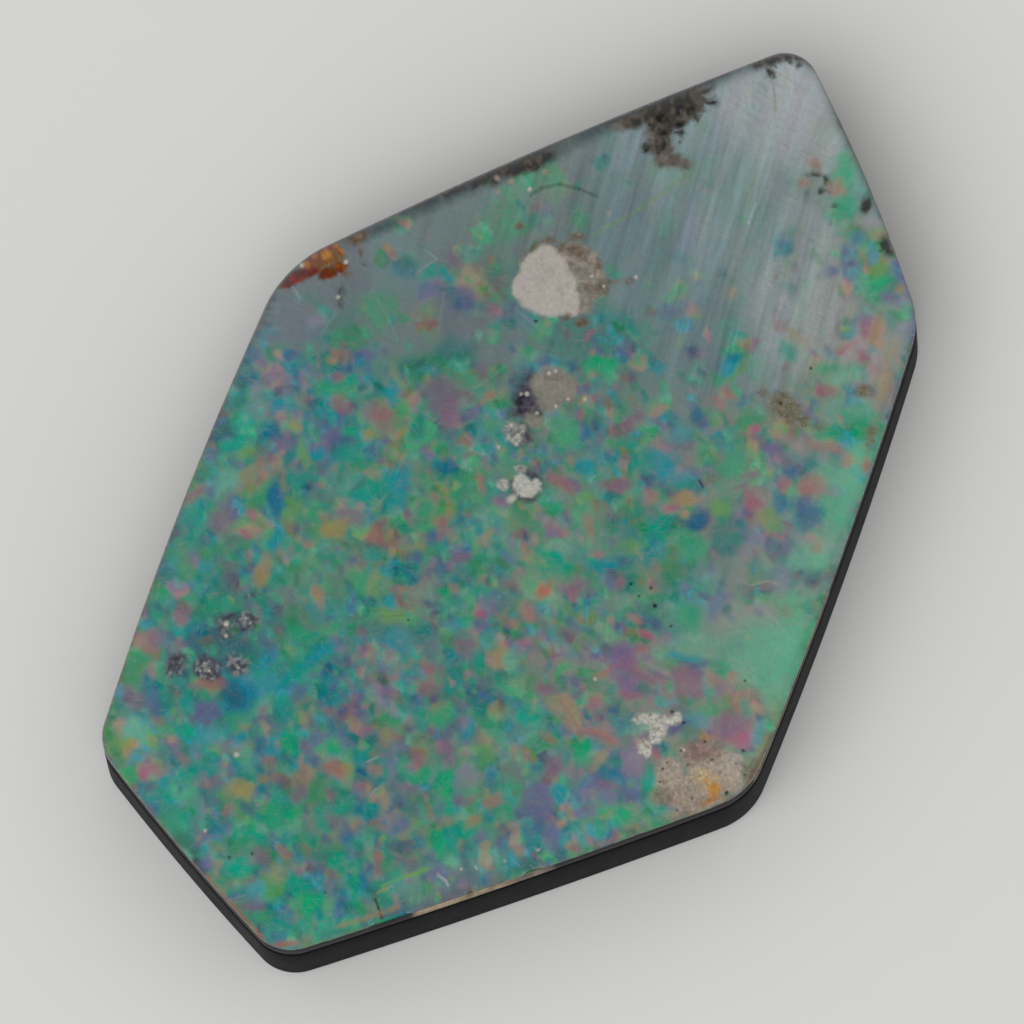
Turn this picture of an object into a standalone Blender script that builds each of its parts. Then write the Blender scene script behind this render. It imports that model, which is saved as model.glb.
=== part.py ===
"""Opal triplet: a flat, elongated freeform stone in three cemented layers.

A clear quartz cap with a rounded shoulder and a slight crown lies over a thin slice of
precious opal, and a black backing carries both. All three share one six-cornered outline.

Metres, +Z up, the long way of the stone along +Y. The origin is on the flat underside, at
the middle of the outline's box.
"""

import math

import bmesh
import bpy
from mathutils import Vector

MM = 0.001

# Thickness of the layers, and of the cement between each two of them
BACKING_HEIGHT = 1.92 * MM
OPAL_HEIGHT = 0.42 * MM
CAP_EDGE_HEIGHT = 0.80 * MM
CEMENT_LINE = 0.05 * MM

# The cap's rounded shoulder, how far its crown stands over the rim, and the crown's rings
# as fractions of the outline
CAP_SHOULDER = 0.76 * MM
CAP_SHOULDER_STEPS = 6
CAP_CROWN = 0.10 * MM
CROWN_RINGS = (0.85, 0.68, 0.48, 0.26)

# Small chamfer round the underside
BASE_CHAMFER = 0.18 * MM
BASE_CHAMFER_STEPS = 2

# Outline, clockwise from the pointed end. Each corner gives where its two edges would meet,
# across and along the stone, the radius that rounds it, and how far the edge after it bows out.
CORNERS_MM = (
    ("tip", -0.13, 15.65, 1.00, 0.13),
    ("right_upper", 7.00, 10.00, 2.45, 0.14),
    ("right_lower", 9.79, -4.67, 2.10, 0.08),
    ("foot", 0.47, -15.46, 1.30, 0.07),
    ("left_lower", -7.19, -12.54, 1.30, 0.18),
    ("left_upper", -9.87, 2.42, 3.75, 0.16),
)
ARC_STEP = math.radians(9)
EDGE_POINTS = 3

# Colours of the solids
BLACK = (0.006, 0.006, 0.007, 1.0)
OPAL_GREEN = (0.16, 0.33, 0.29, 1.0)
CLEAR = (0.97, 0.98, 0.98, 1.0)
QUARTZ_IOR = 1.544


def clear_scene():
    for obj in list(bpy.data.objects):
        bpy.data.objects.remove(obj, do_unlink=True)


def corner_arc(before, corner, after, radius):
    """The points of the arc that rounds one corner, from the edge before it to the edge after."""
    to_before = (before - corner).normalized()
    to_after = (after - corner).normalized()
    half_angle = to_before.angle(to_after) / 2
    centre = corner + (to_before + to_after).normalized() * radius / math.sin(half_angle)
    first = corner + to_before * radius / math.tan(half_angle) - centre
    sweep = -(math.pi - 2 * half_angle)
    steps = max(2, math.ceil(abs(sweep) / ARC_STEP))
    points = []
    for step in range(steps + 1):
        angle = sweep * step / steps
        turned = Vector((
            first.x * math.cos(angle) - first.y * math.sin(angle),
            first.x * math.sin(angle) + first.y * math.cos(angle),
        ))
        points.append(centre + turned)
    return points


def bowed_edge(start, end, bow):
    """The points inside one edge, on a shallow curve that stands out by bow at its middle."""
    along = end - start
    outward = Vector((-along.y, along.x)).normalized()
    points = []
    for index in range(1, EDGE_POINTS + 1):
        t = index / (EDGE_POINTS + 1)
        points.append(start + along * t + outward * bow * 4 * t * (1 - t))
    return points


def stone_outline():
    """The outline shared by the three layers, clockwise, centred on its own box."""
    corners = [Vector((x, y)) * MM for _, x, y, _, _ in CORNERS_MM]
    radii = [radius * MM for _, _, _, radius, _ in CORNERS_MM]
    bows = [bow * MM for _, _, _, _, bow in CORNERS_MM]
    count = len(corners)
    arcs = [
        corner_arc(corners[i - 1], corners[i], corners[(i + 1) % count], radii[i])
        for i in range(count)
    ]
    points = []
    for i, arc in enumerate(arcs):
        points += arc
        points += bowed_edge(arc[-1], arcs[(i + 1) % count][0], bows[i])
    low = Vector((min(p.x for p in points), min(p.y for p in points)))
    high = Vector((max(p.x for p in points), max(p.y for p in points)))
    middle = (low + high) / 2
    return [p - middle for p in points]


def layer_mesh(name, outline, height):
    """A closed flat slab of the outline, from z = 0 up to height."""
    curve = bpy.data.curves.new(name + "_outline", "CURVE")
    curve.dimensions = "2D"
    curve.fill_mode = "BOTH"
    curve.extrude = height / 2
    spline = curve.splines.new("POLY")
    spline.points.add(len(outline) - 1)
    for point, place in zip(spline.points, outline):
        point.co = (place.x, place.y, 0, 1)
    spline.use_cyclic_u = True
    guide = bpy.data.objects.new(name + "_guide", curve)
    bpy.context.scene.collection.objects.link(guide)
    graph = bpy.context.evaluated_depsgraph_get()
    mesh = bpy.data.meshes.new_from_object(guide.evaluated_get(graph))
    bpy.data.objects.remove(guide, do_unlink=True)
    bpy.data.curves.remove(curve)
    mesh.name = name
    bm = bmesh.new()
    bm.from_mesh(mesh)
    bmesh.ops.remove_doubles(bm, verts=bm.verts, dist=0.001 * MM)
    bmesh.ops.translate(bm, verts=bm.verts, vec=(0, 0, height / 2))
    bmesh.ops.recalc_face_normals(bm, faces=bm.faces)
    bm.to_mesh(mesh)
    bm.free()
    return mesh


def rim_edges(bm, z):
    """The edges of the slab's rim at one height."""
    near = 0.001 * MM
    return [
        edge for edge in bm.edges
        if all(abs(vert.co.z - z) < near for vert in edge.verts)
        and any(abs(face.normal.z) < 0.5 for face in edge.link_faces)
    ]


def weigh_rim(bm, z):
    weights = bm.edges.layers.float.new("bevel_weight_edge")
    for edge in rim_edges(bm, z):
        edge[weights] = 1.0


def raise_crown(bm):
    """Turns the cap's flat top into rings that rise to a slight crown."""
    flat_top = [face for face in bm.faces if face.normal.z > 0.5]
    top = bmesh.ops.dissolve_faces(bm, faces=flat_top)["region"][0]
    reached = 1.0
    for fraction in CROWN_RINGS:
        grown = bmesh.ops.extrude_face_region(bm, geom=[top])["geom"]
        bmesh.ops.delete(bm, geom=[top], context="FACES_ONLY")
        top = next(item for item in grown if isinstance(item, bmesh.types.BMFace))
        for vert in top.verts:
            vert.co.x *= fraction / reached
            vert.co.y *= fraction / reached
            vert.co.z = CAP_EDGE_HEIGHT + CAP_CROWN * (1 - fraction ** 2)
        reached = fraction
    bmesh.ops.recalc_face_normals(bm, faces=bm.faces)


def add_bevel(obj, width, segments):
    bevel = obj.modifiers.new("rounded_rim", "BEVEL")
    bevel.limit_method = "WEIGHT"
    bevel.width = width
    bevel.segments = segments
    bevel.use_clamp_overlap = False


def place_layer(mesh, z, material, collection, parent):
    mesh.materials.append(material)
    mesh.shade_smooth()
    mesh.set_sharp_from_angle(angle=math.radians(30))
    obj = bpy.data.objects.new(mesh.name, mesh)
    obj.location = (0, 0, z)
    obj.parent = parent
    collection.objects.link(obj)
    return obj


def principled(name, color, roughness):
    material = bpy.data.materials.new(name)
    material.use_nodes = True
    shader = material.node_tree.nodes["Principled BSDF"]
    shader.inputs["Base Color"].default_value = color
    shader.inputs["Roughness"].default_value = roughness
    shader.inputs["Metallic"].default_value = 0.0
    return material


def clear_quartz():
    material = principled("clear_quartz", CLEAR, 0.03)
    shader = material.node_tree.nodes["Principled BSDF"]
    shader.inputs["Transmission Weight"].default_value = 1.0
    shader.inputs["IOR"].default_value = QUARTZ_IOR
    return material


def make_backing(outline, collection, parent):
    mesh = layer_mesh("backing", outline, BACKING_HEIGHT)
    bm = bmesh.new()
    bm.from_mesh(mesh)
    weigh_rim(bm, 0.0)
    bm.to_mesh(mesh)
    bm.free()
    obj = place_layer(mesh, 0.0, principled("black_backing", BLACK, 0.2), collection, parent)
    add_bevel(obj, BASE_CHAMFER, BASE_CHAMFER_STEPS)


def make_opal_slice(outline, collection, parent):
    mesh = layer_mesh("opal_slice", outline, OPAL_HEIGHT)
    z = BACKING_HEIGHT + CEMENT_LINE
    place_layer(mesh, z, principled("precious_opal", OPAL_GREEN, 0.35), collection, parent)


def make_cap(outline, collection, parent):
    mesh = layer_mesh("quartz_cap", outline, CAP_EDGE_HEIGHT)
    bm = bmesh.new()
    bm.from_mesh(mesh)
    raise_crown(bm)
    weigh_rim(bm, CAP_EDGE_HEIGHT)
    bm.to_mesh(mesh)
    bm.free()
    z = BACKING_HEIGHT + CEMENT_LINE + OPAL_HEIGHT + CEMENT_LINE
    obj = place_layer(mesh, z, clear_quartz(), collection, parent)
    add_bevel(obj, CAP_SHOULDER, CAP_SHOULDER_STEPS)


def main():
    clear_scene()
    collection = bpy.data.collections.new("opal_triplet")
    bpy.context.scene.collection.children.link(collection)
    parent = bpy.data.objects.new("opal_triplet_origin", None)
    collection.objects.link(parent)
    outline = stone_outline()
    make_backing(outline, collection, parent)
    make_opal_slice(outline, collection, parent)
    make_cap(outline, collection, parent)


main()
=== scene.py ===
"""Looks of the opal triplet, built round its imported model.

A clear quartz cap, a thin slice of precious opal with its play of colour and its inclusions, and
a polished black backing, on a pale floor in soft light. Lengths are in millimetres until a mesh
is made, and places read off the photograph are in its pixels, 1024 on a side.
"""

import math

import bpy
import numpy as np
from mathutils import Matrix, Vector
from mathutils.geometry import delaunay_2d_cdt


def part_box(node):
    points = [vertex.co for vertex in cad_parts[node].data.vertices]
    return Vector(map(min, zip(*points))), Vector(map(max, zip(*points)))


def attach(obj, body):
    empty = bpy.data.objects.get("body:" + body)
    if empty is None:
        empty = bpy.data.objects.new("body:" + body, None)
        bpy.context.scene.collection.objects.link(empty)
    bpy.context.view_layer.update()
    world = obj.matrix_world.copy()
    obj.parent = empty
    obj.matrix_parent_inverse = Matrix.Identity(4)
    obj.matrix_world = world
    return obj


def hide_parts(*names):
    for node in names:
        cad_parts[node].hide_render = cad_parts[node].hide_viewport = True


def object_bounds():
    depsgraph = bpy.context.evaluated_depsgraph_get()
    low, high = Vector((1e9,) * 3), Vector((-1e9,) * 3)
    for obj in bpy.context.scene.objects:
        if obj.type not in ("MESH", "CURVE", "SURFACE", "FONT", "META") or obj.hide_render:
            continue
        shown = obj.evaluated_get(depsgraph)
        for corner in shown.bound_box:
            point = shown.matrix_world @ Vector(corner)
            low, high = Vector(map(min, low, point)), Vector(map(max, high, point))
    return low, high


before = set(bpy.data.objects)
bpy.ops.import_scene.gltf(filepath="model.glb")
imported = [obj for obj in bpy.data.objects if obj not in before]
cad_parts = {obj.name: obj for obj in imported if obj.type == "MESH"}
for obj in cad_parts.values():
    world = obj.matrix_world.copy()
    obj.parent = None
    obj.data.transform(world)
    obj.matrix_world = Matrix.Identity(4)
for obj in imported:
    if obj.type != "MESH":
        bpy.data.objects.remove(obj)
cad_low, cad_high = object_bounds()

MM = 0.001

# The photograph's view of the stone
PHOTO_PIXELS = 1024
PIXELS_PER_MM = 35.0
VIEW_TARGET = (-0.44, -0.60, 2.0)
VIEW_DISTANCE = 450.0
VIEW_AZIMUTH = math.radians(38.5)
VIEW_ELEVATION = math.radians(72.0)
VIEW_ROLL = math.radians(8.8)
SENSOR = 36.0
VIEW_CLIP = (0.01, 10.0)

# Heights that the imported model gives, and the seams halfway through its two cement lines
BACKING_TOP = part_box("backing")[1].z / MM
SLICE_LOW, SLICE_TOP = (corner.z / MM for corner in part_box("opal_slice"))
CAP_LOW, CAP_TOP = (corner.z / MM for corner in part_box("quartz_cap"))
LOWER_SEAM = (BACKING_TOP + SLICE_LOW) / 2
UPPER_SEAM = (SLICE_TOP + CAP_LOW) / 2

# The cap's shape and how its clear stone bends light
CAP_RIM = 3.24
CAP_SHOULDER = 0.76
QUARTZ_IOR = 1.544
CAP_OVERLAP = 0.01
BENDING_STEPS = 10

# Limits in working out the bent view: the cap's steepest lean, the flattest ray, how far in from
# the rim the crown is reached, and every which of the rim's points is looked at
STEEPEST = 0.998
GRAZING = 0.02
CROWN_REACH = 7.0
RIM_STEP = 3

# Profiles of the pieces: how far in from the outline, and at what height. The cap's foot counts
# from its lowest level.
CHAMFER = 0.18
BACKING_PROFILE = (
    (CHAMFER, 0.0),
    (CHAMFER * 0.42, CHAMFER * 0.30),
    (CHAMFER * 0.10, CHAMFER * 0.75),
    (0.0, CHAMFER),
    (0.0, LOWER_SEAM - 0.22),
    (0.0, LOWER_SEAM - 0.05),
    (0.012, LOWER_SEAM - 0.012),
    (0.035, LOWER_SEAM),
)
SLICE_EDGE = 0.035
SLICE_SIDES = (
    (0.016, UPPER_SEAM - 0.03),
    (0.010, (UPPER_SEAM + LOWER_SEAM) / 2),
    (0.018, LOWER_SEAM + 0.03),
    (0.040, LOWER_SEAM),
)
CAP_FOOT = ((0.05, 0.0), (0.012, 0.02))

# The height at which the flat cap makes the opal's face seem to lie
SEEN_LEVEL = UPPER_SEAM + 0.31

# How finely the pieces are meshed
OUTLINE_POINTS = 1140
SHOULDER_STEPS = 26
CROWN_RINGS = 26
CURVE_STEPS = 40
SMOOTH_ANGLE = math.radians(60)

# Differences in millimetres that count as none
SAME_LEVEL = 0.001
SAME_PLACE = 1e-6

# The opal face's lattice: spacing in photograph pixels where nothing but streaks lies, in the
# mosaic, and round the inclusions
LATTICE_PIXELS = (6.0, 3.0, 1.6)
PLAIN_RICHNESS = 0.12
COARSE_STEP = 8
DETAIL_MARGIN = 4.0
LINE_DETAIL = 3

# Chips in the rim, between the backing and the cap: place in the photograph, half-length in
# pixels, and depth in millimetres
CHIP_MIDDLE = 2.42
CHIPS = (
    (867, 203, 10, 0.14),
    (392, 921, 24, 0.10),
    (535, 876, 14, 0.06),
    (470, 894, 6, 0.06),
    (665, 849, 7, 0.06),
    (886, 246, 9, 0.07),
    (771, 57, 7, 0.06),
    (797, 55, 7, 0.06),
    (512, 168, 16, 0.06),
    (545, 158, 9, 0.05),
    (456, 190, 8, 0.05),
    (700, 92, 10, 0.06),
)
CHIP_HEIGHT = (0.30, 0.10)
CHIP_UNEVEN = (0.6, 0.8)
CHIP_WAVE = 4.0
CHIP_SEED = 92
CHIP_FLOOR = 0.35
DEEPEST_CHIP = 0.16

# The fine wear of the rim between the chips
WEAR_WAVE = 6.0
WEAR_SEED = 91
WEAR_MIDDLE = 0.4
WEAR_DEPTH = 0.02

# What shows of the slice's own edge, where it isn't dark: tint, and the ends of the stretch
SIDE_STRETCHES = (
    ("sand", (420, 916), (511, 885)),
    ("taupe", (520, 881), (550, 873)),
    ("umber", (757, 775), (800, 690)),
    ("umber", (800, 690), (830, 600)),
)
SIDE_REACH = (9.0, 5.0)
SIDE_COVER = (0.55, 0.45)
SIDE_MOTTLE_SPAN = (0.35, 0.6)
SIDE_WAVE = 7.0
SIDE_SEED = 95

# Tables of random values: the size of a cloud's and how each octave is shifted in it, the size of
# a mosaic's, and what each of a cell's numbers is for. The one for its edge also turns its grain.
CLOUD_TABLE = 256
OCTAVE_SHIFT = (17.3, 9.1)
CELL_TABLE = 128
CELL_NUMBERS = 8
MIDDLE_X, MIDDLE_Y, HUE, SHOWN, WAY, COVER, EDGE, GRAIN = range(CELL_NUMBERS)

# Colours, as they show through the cap, in the photograph's own 0 to 255
TINTS = {
    "green": (58, 154, 106),
    "bright_green": (40, 164, 100),
    "bright_teal": (24, 156, 122),
    "deep_green": (68, 128, 92),
    "leaf": (96, 150, 84),
    "pale_green": (96, 164, 134),
    "teal": (46, 142, 124),
    "deep_teal": (52, 114, 110),
    "cyan": (30, 138, 160),
    "sky": (74, 142, 160),
    "blue": (48, 98, 138),
    "indigo": (72, 90, 132),
    "violet": (98, 92, 138),
    "lilac": (124, 124, 146),
    "mauve": (116, 94, 116),
    "rose": (144, 94, 108),
    "magenta": (166, 86, 116),
    "salmon": (150, 110, 104),
    "coral": (166, 96, 88),
    "orange": (156, 122, 88),
    "gold": (152, 134, 84),
    "tan": (140, 130, 98),
    "slate": (72, 92, 106),
    "milk": (158, 167, 171),
    "pearl": (144, 158, 156),
    "mist": (122, 143, 147),
    "haze_blue": (106, 126, 130),
    "haze_teal": (104, 120, 119),
    "ash_grey": (108, 113, 114),
    "sea": (88, 121, 118),
    "moss": (96, 120, 110),
    "pine": (58, 116, 102),
    "jade": (94, 172, 132),
    "pink_grey": (139, 140, 137),
    "fawn": (148, 130, 116),
    "dusk": (100, 104, 114),
    "chalk": (209, 187, 175),
    "white": (214, 200, 186),
    "cream": (220, 206, 191),
    "taupe": (128, 118, 110),
    "beige": (162, 145, 131),
    "stone": (134, 125, 118),
    "lead": (150, 146, 147),
    "umber": (106, 95, 83),
    "bark": (84, 72, 62),
    "rust": (98, 60, 42),
    "red_rust": (128, 78, 50),
    "ochre": (118, 82, 56),
    "flame": (188, 116, 68),
    "amber": (184, 150, 112),
    "soot": (76, 72, 80),
    "coal": (42, 40, 42),
    "peat": (72, 70, 67),
    "silt": (96, 91, 85),
    "sand": (158, 141, 116),
    "smoke": (84, 86, 92),
    "clay": (113, 122, 119),
    "plum_grey": (128, 118, 120),
    # The painted shade of the far rim
    "shade": (76, 82, 84),
    "twilight": (84, 94, 116),
    "ash_violet": (104, 112, 118),
    "plum_brown": (128, 104, 100),
    "khaki": (108, 106, 91),
}

# Zones of the opal: place and reach in pixels, colour, how many patches lie there, and how
# strong its upright streaks are
ZONES = (
    (775, 112, 50, "milk", 0.00, 0.5),
    (705, 195, 70, "mist", 0.03, 1.0),
    (835, 165, 45, "pearl", 0.10, 0.5),
    (640, 240, 60, "haze_blue", 0.06, 1.0),
    (560, 205, 50, "haze_teal", 0.12, 0.9),
    (440, 215, 50, "haze_teal", 0.12, 0.4),
    (290, 315, 36, "ash_violet", 0.00, 0.0),
    (345, 270, 36, "ash_violet", 0.03, 0.1),
    (395, 265, 36, "haze_blue", 0.10, 0.3),
    (385, 320, 32, "haze_teal", 0.20, 0.1),
    (470, 290, 50, "ash_violet", 0.22, 0.3),
    (700, 330, 60, "haze_blue", 0.20, 0.9),
    (795, 300, 60, "pearl", 0.10, 0.8),
    (865, 335, 40, "pink_grey", 0.40, 0.4),
    (880, 270, 35, "haze_teal", 0.90, 0.0),
    (620, 350, 40, "sea", 0.60, 0.3),
    (300, 430, 70, "sea", 1.00, 0.0),
    (450, 480, 70, "sea", 0.90, 0.0),
    (600, 450, 60, "clay", 0.90, 0.1),
    (715, 465, 60, "clay", 0.70, 0.1),
    (790, 500, 50, "mist", 0.75, 0.2),
    (845, 450, 40, "jade", 0.45, 0.1),
    (215, 520, 60, "moss", 0.90, 0.0),
    (440, 540, 70, "sea", 1.00, 0.0),
    (345, 590, 55, "clay", 1.00, 0.0),
    (540, 600, 55, "clay", 0.90, 0.0),
    (650, 560, 60, "sea", 0.60, 0.0),
    (755, 590, 45, "pink_grey", 0.35, 0.1),
    (775, 660, 50, "jade", 0.35, 0.0),
    (215, 645, 45, "slate", 0.60, 0.0),
    (150, 650, 45, "sea", 0.90, 0.0),
    (400, 690, 80, "sea", 1.00, 0.0),
    (560, 690, 60, "clay", 0.90, 0.0),
    (650, 700, 60, "plum_grey", 0.60, 0.0),
    (740, 735, 40, "fawn", 0.60, 0.0),
    (170, 760, 60, "sea", 1.00, 0.0),
    (300, 800, 80, "moss", 1.00, 0.0),
    (165, 840, 45, "pine", 0.60, 0.0),
    (430, 800, 70, "sea", 1.00, 0.0),
    (540, 820, 60, "moss", 0.90, 0.0),
    (625, 790, 50, "dusk", 0.80, 0.0),
    (430, 880, 50, "dusk", 0.50, 0.0),
    (300, 900, 60, "pine", 0.90, 0.0),
)
ZONE_CORE = 0.05

# The order in which neighbouring tints pass into each other, with how often each turns up
TINT_RING = (
    ("tan", 0.035),
    ("leaf", 0.055),
    ("green", 0.13),
    ("deep_green", 0.12),
    ("bright_green", 0.045),
    ("pale_green", 0.06),
    ("teal", 0.13),
    ("deep_teal", 0.085),
    ("cyan", 0.045),
    ("sky", 0.035),
    ("blue", 0.05),
    ("indigo", 0.045),
    ("twilight", 0.06),
    ("violet", 0.04),
    ("mauve", 0.06),
    ("rose", 0.045),
    ("salmon", 0.045),
    ("orange", 0.02),
)

# The mosaics, one over the other: size of a cell in pixels, stretch, tilt in degrees, seed, the
# share of cells that show, how strongly they cover, and their softest edge in pixels
MOSAICS = (
    (58, 1.2, 20, 11, 0.80, 0.40, 26.0),
    (34, 1.5, 65, 12, 0.85, 0.72, 18.0),
    (20, 1.3, -25, 13, 0.62, 0.80, 10.0),
    (12, 1.4, 35, 14, 0.54, 0.80, 6.0),
    (7.5, 1.5, 80, 15, 0.45, 0.65, 4.0),
)

# How a mosaic's places are moved: the size and the amount as shares of a cell's, and the seed
# that is added to its own
MOSAIC_WARPS = (
    (1.2, 0.55, 40),
    (0.4, 0.18, 60),
)

# The least of a cell's lightness, of its cover and of its softness, and how much more there can be
CELL_LIFT = (0.55, 0.92)
CELL_COVER = (0.55, 0.45)
CELL_SOFTNESS = (0.3, 0.7)
LIFT_SCATTER = 37.0

# How far a cell's own number, the slow lean of its surroundings, its side and its mottling move
# its colour round the ring of tints
HUE_RANGE = 0.85
LEAN_RANGE = 1.2
LEAN_SIZE = 90.0
LEAN_SEED = 31
SIDE_RANGE = 0.08
MOTTLE_RANGE = 0.22
MOTTLE_SIZE = 9.0
MOTTLE_SEED = 80

# How sharply cells stop where there are few, how they fade to one side, which of them have grain,
# and how strongly a cell or a patch covers where it brings its own
SHOWN_SHARPNESS = 12.0
CELL_FADE = 0.6
CELL_FADE_END = 0.6
GRAINED_CELLS = 0.22
TURN_COVER = 0.2
GRAIN_COVER = 0.3

# Which way the upright streaks of the top run on the stone, what a tilt read in the photograph
# is on it, and how far the second hairs of a grain slant from the first
STREAK_TURN = math.radians(-105.0)
LEVEL_TURN = math.radians(30.0)
HAIR_SLANT = 0.9

# Washes that make the mosaic rosier or greener: how much more red there is all over it, and each
# wash's place and reach in pixels and how much more or less red there is
PLAIN_WARMTH = 0.06
WASHES = (
    (640, 680, 90, 0.42),
    (540, 590, 80, 0.30),
    (740, 470, 80, 0.30),
    (840, 330, 70, 0.45),
    (840, 190, 50, 0.60),
    (740, 640, 70, 0.15),
    (560, 430, 90, 0.18),
    (520, 190, 60, 0.60),
    (300, 570, 80, 0.12),
    (330, 890, 70, -0.35),
    (270, 680, 80, -0.28),
    (650, 780, 60, 0.15),
)
WASH_RICHNESS = 1.2
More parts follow.
